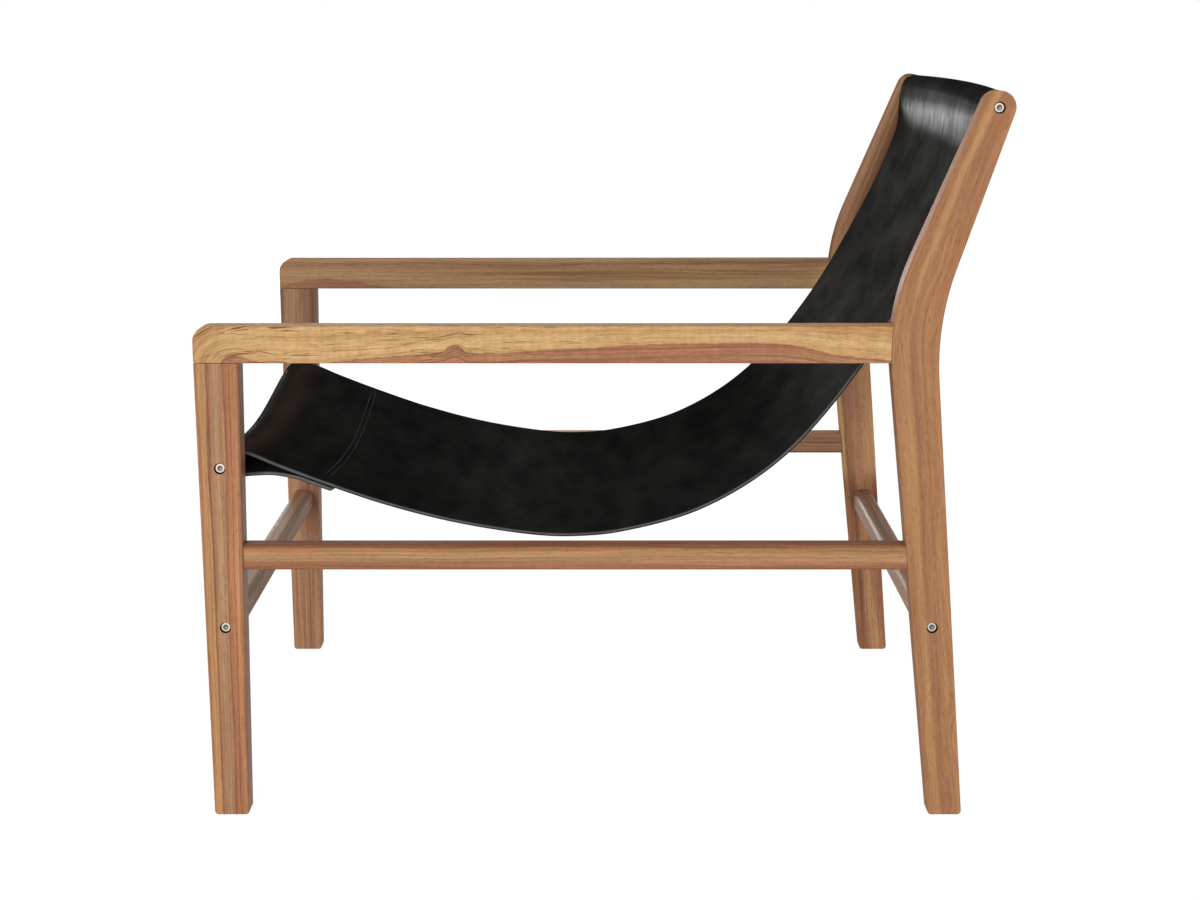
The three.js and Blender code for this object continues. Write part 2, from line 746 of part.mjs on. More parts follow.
let sheet = solid(leatherSheet());
if (sheet.volume() < 0) throw new Error("the leather sheet is inside out");
sheet = cut(sheet, tackHoles);

// Assembly
const chair = new THREE.Group();
const body = new THREE.Group();
body.position.y = -Math.max(overall_depth, top_rail_centre_depth + top_bow_back + top_outer) / 2;
chair.add(body);

function place(group, name, geometry, material) {
  const mesh = new THREE.Mesh(geometry, material);
  mesh.name = name;
  group.add(mesh);
}

for (const [side, mirror] of [["left", 1], ["right", -1]]) {
  const group = new THREE.Group();
  group.scale.x = mirror;
  body.add(group);
  for (const [name, geometry, material] of sidePieces) {
    place(group, side + "_" + name, geometry, material);
  }
}
place(body, "front_cross_stretcher", crossStretcher(bolt_places.front_stretcher), stretcher_wood);
place(body, "rear_cross_stretcher", crossStretcher(bolt_places.rear_stretcher), stretcher_wood);
place(body, "front_sling_rail", front_rail, rail_wood);
place(body, "top_sling_rail", top_rail, rail_wood);
place(body, "leather_sling", geometryOf(sheet), leather_material);
tack_places.forEach((x, i) => place(body, "sling_tack_" + (i + 1), tack(x), tack_metal));

export default chair;
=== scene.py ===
import itertools
import math

import bmesh
import bpy
import numpy as np
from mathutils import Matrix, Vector


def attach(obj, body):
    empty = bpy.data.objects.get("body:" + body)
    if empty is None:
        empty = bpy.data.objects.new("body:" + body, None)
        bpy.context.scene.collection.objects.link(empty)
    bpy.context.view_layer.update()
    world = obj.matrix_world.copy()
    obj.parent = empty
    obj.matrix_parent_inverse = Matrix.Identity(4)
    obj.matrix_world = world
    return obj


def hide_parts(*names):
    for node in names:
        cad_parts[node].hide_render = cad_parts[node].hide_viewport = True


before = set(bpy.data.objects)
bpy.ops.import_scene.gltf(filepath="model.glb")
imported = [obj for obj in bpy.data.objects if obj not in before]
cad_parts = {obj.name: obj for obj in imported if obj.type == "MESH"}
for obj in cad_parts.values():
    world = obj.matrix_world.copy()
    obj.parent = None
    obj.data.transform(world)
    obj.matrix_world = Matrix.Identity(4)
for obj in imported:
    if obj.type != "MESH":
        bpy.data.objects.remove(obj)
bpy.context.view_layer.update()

# Sling lounge chair: wooden side frames, rails, stretchers and one hanging sheet of leather.
# Sizes are in millimetres, as in the part's source: X across with the sitter's left at +X, depth
# measured back from the front of the armrests, height up from the floor. They become metres, with
# the depth moved so that the chair stands in the middle, when a mesh is made.

MM = 0.001

OVERALL_WIDTH = 614
OVERALL_DEPTH = 816
OVERALL_HEIGHT = 749
FRAME_THICKNESS = 26
EDGE_RADIUS = 1.2
FOOT_CORNER_RADIUS = 4
JOINT_GAP = 0.2
FRONT_LEG_FOOT_SETBACK = 4.6
FRONT_LEG_FOOT_WIDTH = 36.1
FRONT_LEG_TOP_WIDTH = 46
ARMREST_TOP = 516.5
ARMREST_HEIGHT = 37.4
ARMREST_NOSE_RADIUS = 15.5
REAR_FOOT_FRONT = 752.1
REAR_FOOT_WIDTH = 35.1
BEND_FRONT_DEPTH = 695.2
BEND_FRONT_HEIGHT = 528
BEND_FRONT_RADIUS = 240
BEND_WIDTH = 49.6
BEND_BACK_DROP = 8.2
BEND_BACK_RADIUS = 280
POST_END_RADIUS = 16.4
SIDE_STRETCHER_BOTTOM = 264.5
SIDE_STRETCHER_HEIGHT = 26.5
SIDE_STRETCHER_THICKNESS = 24
SIDE_STRETCHER_EDGE_RADIUS = 4
CROSS_STRETCHER_DEPTH = 24
CROSS_STRETCHER_HEIGHT = 26
CROSS_STRETCHER_CORNER_RADIUS = 7
CROSS_STRETCHER_LEVEL = 203.5
FRONT_RAIL_HEIGHT = 371
FRONT_RAIL_RADIUS = 12
TOP_RAIL_RADIUS = 11
FRONT_BOW_BACK = 9
FRONT_BOW_DOWN = 8
TOP_BOW_BACK = 12
TOP_BOW_UP = 1.5
LEATHER_THICKNESS = 4
LEATHER_SIDE_GAP = 11
LEATHER_SLACK = 0.6
FLAP_GAP = 0.4
FLAP_LENGTH = 107
SEAT_SAG = 75
TENON_THICKNESS = 8
TENON_WIDTH = 22
TENON_LENGTH = 40
STRETCHER_TENON_WIDTH = 16
TENON_SLACK = 0.2
BOLT_HEAD_DIAMETER = 10
BOLT_HEAD_HEIGHT = 6
BOLT_HEX_ACROSS_FLATS = 5
BOLT_HEX_DEPTH = 3
BOLT_SHANK_DIAMETER = 6
BOLT_REACH = 20
BOLT_RECESS = 2.6
BOLT_CLEARANCE = 0.2
COUNTERBORE_GAP = 0.6
INSERT_DIAMETER = 10
INSERT_LENGTH = 16
INSERT_SLACK = 0.15
INSERT_SETBACK = 0.4
BORE_EXTRA_DEPTH = 3
TACK_COUNT = 9
TACK_EDGE_MARGIN = 30
TACK_HEAD_DIAMETER = 8
TACK_HEAD_HEIGHT = 2.2
TACK_SHANK_DIAMETER = 2
TACK_SHANK_LENGTH = 12
TACK_SLACK = 0.25
TACK_ANGLE = -48
LEATHER_END_ANGLE = -80

# The sitting face of the leather, as shares of the run between the rails, of the sag and of the rise.
SITTING_SHARES = [
    (0.03, -0.15, 0), (0.067, 0.013, 0), (0.1325, 0.275, 0), (0.215, 0.569, 0), (0.309, 0.821, 0),
    (0.4165, 0.992, 0), (0.47, 1, 0), (0.523, 0.939, 0), (0.6285, 0.621, 0), (0.733, 0, 0.0155),
    (0.8345, 0, 0.2755), (0.9195, 0, 0.584), (0.9585, 0, 0.761), (0.9755, 0, 0.871), (0.979, 0, 0.9375),
]
# The flap's lower face behind the front rail, as shares of its length and of the roll's radius.
FLAP_SHARES = [(0.613, 1.012), (0.441, 0.831), (0.274, 0.849)]

# Keeps two faces from lying in one plane
HAIR = 0.001
BORE_CHAMFER = 0.35

HALF_INSIDE = OVERALL_WIDTH / 2 - FRAME_THICKNESS
FRAME_CENTRE = HALF_INSIDE + FRAME_THICKNESS / 2
OUTER_FACE = OVERALL_WIDTH / 2
ARMREST_BOTTOM = ARMREST_TOP - ARMREST_HEIGHT
ARMREST_MIDDLE = (ARMREST_TOP + ARMREST_BOTTOM) / 2
TOP_RAIL_DEPTH = OVERALL_DEPTH - POST_END_RADIUS
TOP_RAIL_HEIGHT = OVERALL_HEIGHT - POST_END_RADIUS
SIDE_STRETCHER_TOP = SIDE_STRETCHER_BOTTOM + SIDE_STRETCHER_HEIGHT
SIDE_STRETCHER_MIDDLE = (SIDE_STRETCHER_BOTTOM + SIDE_STRETCHER_TOP) / 2
LEATHER_WIDTH = 2 * (HALF_INSIDE - LEATHER_SIDE_GAP)
FRONT_OUTER = FRONT_RAIL_RADIUS + LEATHER_SLACK + LEATHER_THICKNESS
TOP_OUTER = TOP_RAIL_RADIUS + LEATHER_SLACK + LEATHER_THICKNESS
DEPTH_MIDDLE = (TOP_RAIL_DEPTH + TOP_BOW_BACK + TOP_OUTER) / 2
BORE_RADIUS = BOLT_SHANK_DIAMETER / 2 + BOLT_CLEARANCE
COUNTERBORE_RADIUS = BOLT_HEAD_DIAMETER / 2 + COUNTERBORE_GAP
BOLT_TIP = HALF_INSIDE - BOLT_REACH


# Drawing in depth and height

def rounded_corner(before, corner, after, radius, steps):
    before, corner, after = (np.array(p, float) for p in (before, corner, after))
    back = (before - corner) / np.linalg.norm(before - corner)
    ahead = (after - corner) / np.linalg.norm(after - corner)
    half = math.acos(np.clip(back @ ahead, -1, 1)) / 2
    reach = radius / math.tan(half)
    bisector = back + ahead
    centre = corner + bisector / np.linalg.norm(bisector) * (radius / math.sin(half))
    start = corner + back * reach - centre
    end = corner + ahead * reach - centre
    first = math.atan2(start[1], start[0])
    sweep = math.atan2(end[1], end[0]) - first
    sweep = math.atan2(math.sin(sweep), math.cos(sweep))
    return [
        centre + radius * np.array([math.cos(a), math.sin(a)])
        for a in (first + sweep * i / steps for i in range(steps + 1))
    ]


def outline(corners):
    points = []
    for i, corner in enumerate(corners):
        if len(corner) == 2:
            points.append(np.array(corner, float))
        else:
            before, after = corners[i - 1][:2], corners[(i + 1) % len(corners)][:2]
            points += rounded_corner(before, corner[:2], after, *corner[2:])
    return points


def tangent_point(start, centre, radius, side):
    way = np.array(centre, float) - start
    distance = np.linalg.norm(way)
    turn = math.asin(radius / distance) * side
    c, s = math.cos(turn), math.sin(turn)
    way = np.array([c * way[0] - s * way[1], s * way[0] + c * way[1]]) / distance
    return start + way * math.sqrt(distance**2 - radius**2)


def front_leg_outline(top):
    foot_back = FRONT_LEG_FOOT_SETBACK + FRONT_LEG_FOOT_WIDTH
    front_slope = FRONT_LEG_FOOT_SETBACK / ARMREST_BOTTOM
    back_slope = (FRONT_LEG_TOP_WIDTH - foot_back) / ARMREST_BOTTOM
    return outline([
        (FRONT_LEG_FOOT_SETBACK, 0, FOOT_CORNER_RADIUS, 6),
        (foot_back, 0, FOOT_CORNER_RADIUS, 6),
        (foot_back + back_slope * top, top),
        (FRONT_LEG_FOOT_SETBACK - front_slope * top, top),
    ])


def rear_post_outline():
    end = np.array([TOP_RAIL_DEPTH, TOP_RAIL_HEIGHT])
    bend_front = np.array([BEND_FRONT_DEPTH, BEND_FRONT_HEIGHT])
    bend_back = bend_front + [BEND_WIDTH, -BEND_BACK_DROP]
    foot_front = np.array([REAR_FOOT_FRONT, 0])
    foot_back = foot_front + [REAR_FOOT_WIDTH, 0]
    back_touch = tangent_point(bend_back, end, POST_END_RADIUS, -1)
    front_touch = tangent_point(bend_front, end, POST_END_RADIUS, 1)
    first = math.atan2(*(back_touch - end)[::-1])
    sweep = (math.atan2(*(front_touch - end)[::-1]) - first) % (2 * math.pi)
    points = rounded_corner(bend_front, foot_front, foot_back, FOOT_CORNER_RADIUS, 6)
    points += rounded_corner(foot_front, foot_back, bend_back, FOOT_CORNER_RADIUS, 6)
    points += rounded_corner(foot_back, bend_back, back_touch, BEND_BACK_RADIUS, 24)
    for i in range(41):
        a = first + sweep * i / 40
        points.append(end + POST_END_RADIUS * np.array([math.cos(a), math.sin(a)]))
    points += rounded_corner(front_touch, bend_front, foot_front, BEND_FRONT_RADIUS, 24)
    return points


def edges_at(points, height):
    hits = []
    for a, b in zip(points, points[1:] + points[:1]):
        if (a[1] - height) * (b[1] - height) <= 0 and a[1] != b[1]:
            hits.append(a[0] + (height - a[1]) / (b[1] - a[1]) * (b[0] - a[0]))
    return min(hits), max(hits)


def middle_at(points, height):
    return sum(edges_at(points, height)) / 2


LEG = front_leg_outline(ARMREST_BOTTOM + EDGE_RADIUS * 2)
POST = rear_post_outline()
FRONT_RAIL_DEPTH = middle_at(LEG, FRONT_RAIL_HEIGHT)

BOLT_PLACES = {
    "front_rail": (FRONT_RAIL_DEPTH, FRONT_RAIL_HEIGHT),
    "top_rail": (TOP_RAIL_DEPTH, TOP_RAIL_HEIGHT),
    "front_stretcher": (middle_at(LEG, CROSS_STRETCHER_LEVEL), CROSS_STRETCHER_LEVEL),
    "rear_stretcher": (middle_at(POST, CROSS_STRETCHER_LEVEL), CROSS_STRETCHER_LEVEL),
}
TENON_PLACES = {
    "arm_leg": (FRONT_LEG_TOP_WIDTH / 2, ARMREST_BOTTOM, True, TENON_WIDTH),
    "arm_post": (edges_at(POST, ARMREST_MIDDLE)[0], ARMREST_MIDDLE, False, TENON_WIDTH),
    "stretcher_leg": (
        edges_at(LEG, SIDE_STRETCHER_MIDDLE)[1], SIDE_STRETCHER_MIDDLE, False, STRETCHER_TENON_WIDTH),
    "stretcher_post": (
        edges_at(POST, SIDE_STRETCHER_MIDDLE)[0], SIDE_STRETCHER_MIDDLE, False, STRETCHER_TENON_WIDTH),
}


# Meshes

def to_metres(points):
    points = np.array(points, float)
    points[:, 1] -= DEPTH_MIDDLE
    return points * MM


def add_object(name, data):
    made = bpy.data.objects.new(name, data)
    bpy.context.scene.collection.objects.link(made)
    return made


def edit_faces(mesh, change):
    edit = bmesh.new()
    edit.from_mesh(mesh)
    change(edit, faces=edit.faces)
    edit.to_mesh(mesh)
    edit.free()


def make_object(name, points, faces):
    """points are (across, depth, height) in millimetres."""
    mesh = bpy.data.meshes.new(name)
    mesh.from_pydata([tuple(p) for p in to_metres(points)], [], faces)
    mesh.validate()
    edit_faces(mesh, bmesh.ops.recalc_face_normals)
    return add_object(name, mesh)


def skin(rows, count):
    """Faces between closed rows of points, and over the first and the last row."""
    faces = [
        (k * count + i, k * count + (i + 1) % count, (k + 1) * count + (i + 1) % count, (k + 1) * count + i)
        for k in range(rows - 1) for i in range(count)
    ]
    return faces + [tuple(range(count - 1, -1, -1)), tuple((rows - 1) * count + i for i in range(count))]


def circle(radius, sides):
    angles = np.linspace(0, 2 * math.pi, sides, endpoint=False)
    return [(radius * math.cos(a), radius * math.sin(a)) for a in angles]


def quarter(steps):
    """Angles from 0 to a right angle."""
    return [i / steps * math.pi / 2 for i in range(steps + 1)]


def inset(points, distance):
    """A closed outline, drawn counter-clockwise, moved inwards along its corners' bisectors."""
    points = np.array(points)
    before, after = np.roll(points, 1, 0), np.roll(points, -1, 0)
    a, b = points - before, after - points
    a /= np.linalg.norm(a, axis=1)[:, None]
    b /= np.linalg.norm(b, axis=1)[:, None]
    normal_a = np.stack([-a[:, 1], a[:, 0]], 1)
    normal_b = np.stack([-b[:, 1], b[:, 0]], 1)
    way = normal_a + normal_b
    return points + way * (distance / (1 + (normal_a * normal_b).sum(1)))[:, None]


def area(points):
    points = np.array(points)
    after = np.roll(points, -1, 0)
    return (points[:, 0] * after[:, 1] - after[:, 0] * points[:, 1]).sum() / 2


def board(name, points, thickness, rounding, segments=6):
    """A board of a side frame, cut to an outline, with its long edges rounded over."""
    if area(points) < 0:
        points = points[::-1]
    loops = []
    for side, angles in ((-1, quarter(segments)), (1, quarter(segments)[::-1])):
        for angle in angles:
            x = FRAME_CENTRE + side * (thickness / 2 - rounding * (1 - math.cos(angle)))
            loops.append([(x, *p) for p in inset(points, rounding * (1 - math.sin(angle)))])
    return make_object(name, [p for loop in loops for p in loop], skin(len(loops), len(points)))


def slab(points, shift):
    """A plain cutter of an outline, moved in depth."""
    return board("cutter", [p + [shift, 0] for p in points], 2 * FRAME_THICKNESS, HAIR, 1)


def block(low, high):
    corners = list(itertools.product(*zip(low, high)))
    faces = [(0, 1, 3, 2), (4, 6, 7, 5), (0, 4, 5, 1), (2, 3, 7, 6), (0, 2, 6, 4), (1, 5, 7, 3)]
    return make_object("cutter", corners, faces)


def turned(name, profile, place, sides=48):
    """A turned piece about an axis across the chair. profile is [(across, radius), ...]; a radius of 0
    closes an end on the axis."""
    depth, height = place
    points, rings, faces = [], [], []
    for x, r in profile:
        if r == 0:
            rings.append([len(points)] * sides)
            points.append((x, depth, height))
        else:
            rings.append(list(range(len(points), len(points) + sides)))
            points += [(x, depth + a, height + b) for a, b in circle(r, sides)]
    for a, b in zip(rings, rings[1:]):
        for i in range(sides):
            j = (i + 1) % sides
            faces.append(tuple(dict.fromkeys((a[i], a[j], b[j], b[i]))))
    return make_object(name, points, faces)


def tenon_cutter(place):
    depth, height, upright, width = place
    thickness = TENON_THICKNESS + 2 * TENON_SLACK
    broad = width + 2 * TENON_SLACK
    length = TENON_LENGTH + 4 * TENON_SLACK
    straight = (broad - thickness) / 2
    loop = []
    for side in (1, -1):
        for i in range(9):
            a = math.pi * i / 8
            across, up = math.cos(a) * thickness / 2, math.sin(a) * thickness / 2
            loop.append((side * across, side * (straight + up)))
    points = []
    for along in (-length / 2, length / 2):
        for across, v in loop:
            offset = (v, along) if upright else (along, v)
            points.append((FRAME_CENTRE + across, depth + offset[0], height + offset[1]))
    return make_object("cutter", points, skin(2, len(loop)))


def bolt_cutter(place):
    """The bolt's hole through a side frame, with its counterbore and a small chamfer at the mouth."""
    seat = OUTER_FACE - BOLT_HEAD_HEIGHT - BOLT_RECESS
    start, end = HALF_INSIDE - EDGE_RADIUS, OUTER_FACE + EDGE_RADIUS
    return turned("cutter", [
        (start, 0), (start, BORE_RADIUS), (seat, BORE_RADIUS), (seat, COUNTERBORE_RADIUS),
        (OUTER_FACE - BORE_CHAMFER, COUNTERBORE_RADIUS),
        (end, COUNTERBORE_RADIUS + BORE_CHAMFER + EDGE_RADIUS), (end, 0),
    ], place)


def end_cutter(place):
    """The hole for a bolt and its insert in the end of a cross piece."""
    wide = INSERT_DIAMETER / 2 + INSERT_SLACK
    start, end = BOLT_TIP - BORE_EXTRA_DEPTH, HALF_INSIDE + EDGE_RADIUS
    shoulder = HALF_INSIDE - INSERT_LENGTH - INSERT_SETBACK - JOINT_GAP
    return turned("cutter", [
        (start, 0), (start, BORE_RADIUS), (shoulder, BORE_RADIUS), (shoulder, wide), (end, wide), (end, 0),
    ], place)


def mirrored(piece, name):
    """A copy on the sitter's right."""
    mesh = piece.data.copy()
    mesh.name = name
    for v in mesh.vertices:
        v.co.x = -v.co.x
    edit_faces(mesh, bmesh.ops.reverse_faces)
    return add_object(name, mesh)


def apply_modifiers(piece):
    graph = bpy.context.evaluated_depsgraph_get()
    mesh = bpy.data.meshes.new_from_object(piece.evaluated_get(graph), depsgraph=graph)
    old = piece.data
    piece.modifiers.clear()
    piece.data = mesh
    mesh.name = piece.name
    bpy.data.meshes.remove(old)


def cut(piece, cutters):
    for cutter in cutters:
        modifier = piece.modifiers.new("cut", "BOOLEAN")
        modifier.operation = "DIFFERENCE"
        modifier.solver = "EXACT"
        modifier.object = cutter
    apply_modifiers(piece)
    return piece


def drop(objects):
    for o in objects:
        mesh = o.data
        bpy.data.objects.remove(o)
        bpy.data.meshes.remove(mesh)


def smooth(piece, degrees=35):
    """Smooth shading between faces that meet at less than an angle, led by the larger faces."""
    mesh = piece.data
    mesh.shade_smooth()
    mesh.set_sharp_from_angle(angle=math.radians(degrees))
    modifier = piece.modifiers.new("normals", "WEIGHTED_NORMAL")
    modifier.keep_sharp = True
    modifier.weight = 80
    apply_modifiers(piece)
    return piece


# Side frames

def side_frame():
    mortises = {name: tenon_cutter(place) for name, place in TENON_PLACES.items()}
    holes = {name: bolt_cutter(place) for name, place in BOLT_PLACES.items()}
    leg_slab = slab(LEG, JOINT_GAP)
    post_slab = slab(POST, -JOINT_GAP)
    above = block(
        (0, -OVERALL_DEPTH, ARMREST_BOTTOM - JOINT_GAP), (OVERALL_WIDTH, OVERALL_DEPTH, OVERALL_HEIGHT))

    leg = board("left_front_leg_board", LEG, FRAME_THICKNESS, EDGE_RADIUS)
    cut(leg, [above, mortises["arm_leg"], mortises["stretcher_leg"], holes["front_rail"],
              holes["front_stretcher"]])

    post = board("left_rear_post_board", POST, FRAME_THICKNESS, EDGE_RADIUS)
    cut(post, [mortises["arm_post"], mortises["stretcher_post"], holes["top_rail"], holes["rear_stretcher"]])

    arm_end = middle_at(POST, ARMREST_MIDDLE)
    arm = board("left_armrest_board", outline([
        (0, ARMREST_BOTTOM, EDGE_RADIUS, 4), (arm_end, ARMREST_BOTTOM), (arm_end, ARMREST_TOP),
        (0, ARMREST_TOP, ARMREST_NOSE_RADIUS, 24),
    ]), FRAME_THICKNESS, EDGE_RADIUS - HAIR)
    cut(arm, [post_slab, mortises["arm_leg"], mortises["arm_post"]])

    start, end = middle_at(LEG, SIDE_STRETCHER_MIDDLE), middle_at(POST, SIDE_STRETCHER_MIDDLE)
    stretcher = board("left_side_stretcher_board", outline([
        (start, SIDE_STRETCHER_BOTTOM), (end, SIDE_STRETCHER_BOTTOM),
        (end, SIDE_STRETCHER_TOP), (start, SIDE_STRETCHER_TOP),
    ]), SIDE_STRETCHER_THICKNESS, SIDE_STRETCHER_EDGE_RADIUS)
    cut(stretcher, [leg_slab, post_slab, mortises["stretcher_leg"], mortises["stretcher_post"]])

    drop([*mortises.values(), *holes.values(), leg_slab, post_slab, above])
    return [(leg, "front_leg"), (post, "rear_post"), (arm, "armrest"), (stretcher, "side_stretcher")]


def finish_piece(piece, slot_name, *nodes):
    for node in nodes:
        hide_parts(node)
    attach(piece, "root")
    return piece


PIECES = {}
SLOTS = {
    "front_leg": "leg_wood", "rear_post": "leg_wood", "armrest": "arm_wood",
    "side_stretcher": "stretcher_wood",
}

for piece, kind in side_frame():
    PIECES[f"left_{kind}"] = piece
    PIECES[f"right_{kind}"] = mirrored(piece, f"right_{kind}_board")
for kind, slot_name in SLOTS.items():
    for side in ("left", "right"):
        piece = smooth(PIECES[f"{side}_{kind}"])
        finish_piece(piece, slot_name, f"{side}_{kind}")


# Cross stretchers and rails

def bow_share(x):
    return 1 - (x / HALF_INSIDE) ** 2


def cross_piece(name, section, place, columns, bow_back=0, bow_up=0):
    """A bar across the chair. section is [(depth, height), ...] about its centre line."""
    reach = HALF_INSIDE - JOINT_GAP
    depth, height = place
    points = []
    for j in range(columns + 1):
        x = reach * (2 * j / columns - 1)
        share = bow_share(x)
        points += [(x, depth + bow_back * share + a, height + bow_up * share + b) for a, b in section]
    bar = make_object(name, points, skin(columns + 1, len(section)))
    right = end_cutter(place)
    left = mirrored(right, "cutter")
    cut(bar, [right, left])
    drop([right, left])
    return smooth(bar)


def rounded_section():
    a, b, r = CROSS_STRETCHER_DEPTH / 2, CROSS_STRETCHER_HEIGHT / 2, CROSS_STRETCHER_CORNER_RADIUS
    return outline([(-a, -b, r, 8), (a, -b, r, 8), (a, b, r, 8), (-a, b, r, 8)])


for end in ("front", "rear"):
    bar = cross_piece(f"{end}_cross_bar", rounded_section(), BOLT_PLACES[f"{end}_stretcher"], 1)
    PIECES[f"{end}_cross_stretcher"] = finish_piece(bar, "stretcher_wood", f"{end}_cross_stretcher")
RAILS = [
    ("front", FRONT_RAIL_RADIUS, FRONT_BOW_BACK, -FRONT_BOW_DOWN),
    ("top", TOP_RAIL_RADIUS, TOP_BOW_BACK, TOP_BOW_UP),
]
for end, radius, back, up in RAILS:
    bar = cross_piece(f"{end}_sling_rod", circle(radius, 48), BOLT_PLACES[f"{end}_rail"], 32, back, up)
    PIECES[f"{end}_sling_rail"] = finish_piece(bar, "rail_wood", f"{end}_sling_rail")


# Bolts: socket heads with a rounded rim, a hex socket and a threaded shank

BOLT_RIM_RADIUS = 0.7
BOLT_HEAD_EASING = 0.3
BOLT_TIP_CHAMFER = 0.6
THREAD_PITCH = 1.0
THREAD_DEPTH = 0.28
HEX_DRILL_POINT = 1.0
HEX_FLARE_DEPTH = 0.35
CUT_PAST = 1


def socket_bolt(name, place):
    outside = OUTER_FACE - BOLT_RECESS
    inside = outside - BOLT_HEAD_HEIGHT
    head, shank = BOLT_HEAD_DIAMETER / 2, BOLT_SHANK_DIAMETER / 2
    profile = [(BOLT_TIP, 0), (BOLT_TIP, shank - BOLT_TIP_CHAMFER), (BOLT_TIP + BOLT_TIP_CHAMFER, shank)]
    x = BOLT_TIP + THREAD_PITCH
    while x < HALF_INSIDE - THREAD_PITCH:
        profile += [(x, shank), (x + THREAD_PITCH / 2, shank - THREAD_DEPTH)]
        x += THREAD_PITCH
    easing, rim = BOLT_HEAD_EASING, BOLT_RIM_RADIUS
    profile += [(x, shank), (inside, shank), (inside, head - easing), (inside + easing, head)]
    profile += [(outside - rim * (1 - math.sin(a)), head - rim * (1 - math.cos(a))) for a in quarter(6)]
    bolt = turned(name, profile + [(outside, 0)], place)
    corner, flat = BOLT_HEX_ACROSS_FLATS / math.sqrt(3), BOLT_HEX_ACROSS_FLATS / 2
    bottom, mouth, past = outside - BOLT_HEX_DEPTH, outside + CUT_PAST / 2, outside + CUT_PAST
    hexagon = turned("cutter", [
        (bottom - HEX_DRILL_POINT, 0), (bottom, corner), (past, corner), (past, 0),
    ], place, 6)
    flare = turned("cutter", [
        (outside - HEX_FLARE_DEPTH, 0), (outside - HEX_FLARE_DEPTH, flat),
        (mouth, flat + HEX_FLARE_DEPTH + CUT_PAST / 2), (mouth, 0),
    ], place)
    cut(bolt, [hexagon, flare])
    drop([hexagon, flare])
    return bolt


for kind, place in BOLT_PLACES.items():
    bolt = socket_bolt(f"left_{kind}_socket_bolt", place)
    for side, made in (("left", bolt), ("right", mirrored(bolt, f"right_{kind}_socket_bolt"))):
        smooth(made)
        PIECES[f"{side}_{kind}_bolt"] = finish_piece(made, "bolt_steel", f"{side}_{kind}_bolt")


# Leather: one sheet from the flap's end, round the front rail, down the seat, up the back and over the
# top rail

def spline(points, steps):
    """Points at even distances along a centripetal curve through the given ones."""
    points = [np.array(p, float) for p in points]
    points = [2 * points[0] - points[1]] + points + [2 * points[-1] - points[-2]]
    fine = []
    for group in zip(points, points[1:], points[2:], points[3:]):
        times = np.cumsum([0] + [np.linalg.norm(b - a) ** 0.5 for a, b in zip(group, group[1:])])
        for t in np.linspace(times[1], times[2], 40, endpoint=False):
            level = list(group)
            for k, starts in ((1, (0, 1, 2)), (2, (0, 1)), (1, (1,))):
                level = [
                    a + (t - times[i]) / (times[i + k] - times[i]) * (b - a)
                    for i, a, b in zip(starts, level, level[1:])
                ]
            fine.append(level[0])
    return resample(fine + [points[-2]], steps)


def resample(points, steps):
    points = np.array(points)
    lengths = np.concatenate([[0], np.cumsum(np.linalg.norm(np.diff(points, axis=0), axis=1))])
    at = np.linspace(0, lengths[-1], steps + 1)
    return np.stack([np.interp(at, lengths, points[:, k]) for k in range(points.shape[1])], 1)


def arc(centre, radius, start, end, steps):
    angles = np.radians(np.linspace(start, end, steps + 1))
    return np.array(centre) + radius * np.stack([np.cos(angles), np.sin(angles)], 1)


def touch_angle(point, centre, radius, side):
    touch = tangent_point(np.array(point, float), centre, radius, side) - centre
    return math.degrees(math.atan2(touch[1], touch[0])) % 360


def normals_along(points):
    """Unit normals to the right of the way along an open line."""
    way = np.gradient(points, axis=0)
    way /= np.linalg.norm(way, axis=1)[:, None]
    return np.stack([way[:, 1], -way[:, 0]], 1)


# How far the leather stands forward, at distances below the top of the chair
FORWARD_LEAN = [
    (0, 0), (11, 0), (16, 0.5), (24, 1.8), (30, 2.5), (37, 2.75), (47, 2.35), (58, 1.85), (67, 1.6),
    (76, 2.0), (84, 2.4), (92, 2.55), (102, 2.62), (115, 2.6), (130, 2.52), (150, 2.34), (175, 2.05),
    (200, 1.65), (225, 1.2), (250, 0.75), (275, 0.35), (300, 0.1), (325, 0), (400, 0),
]


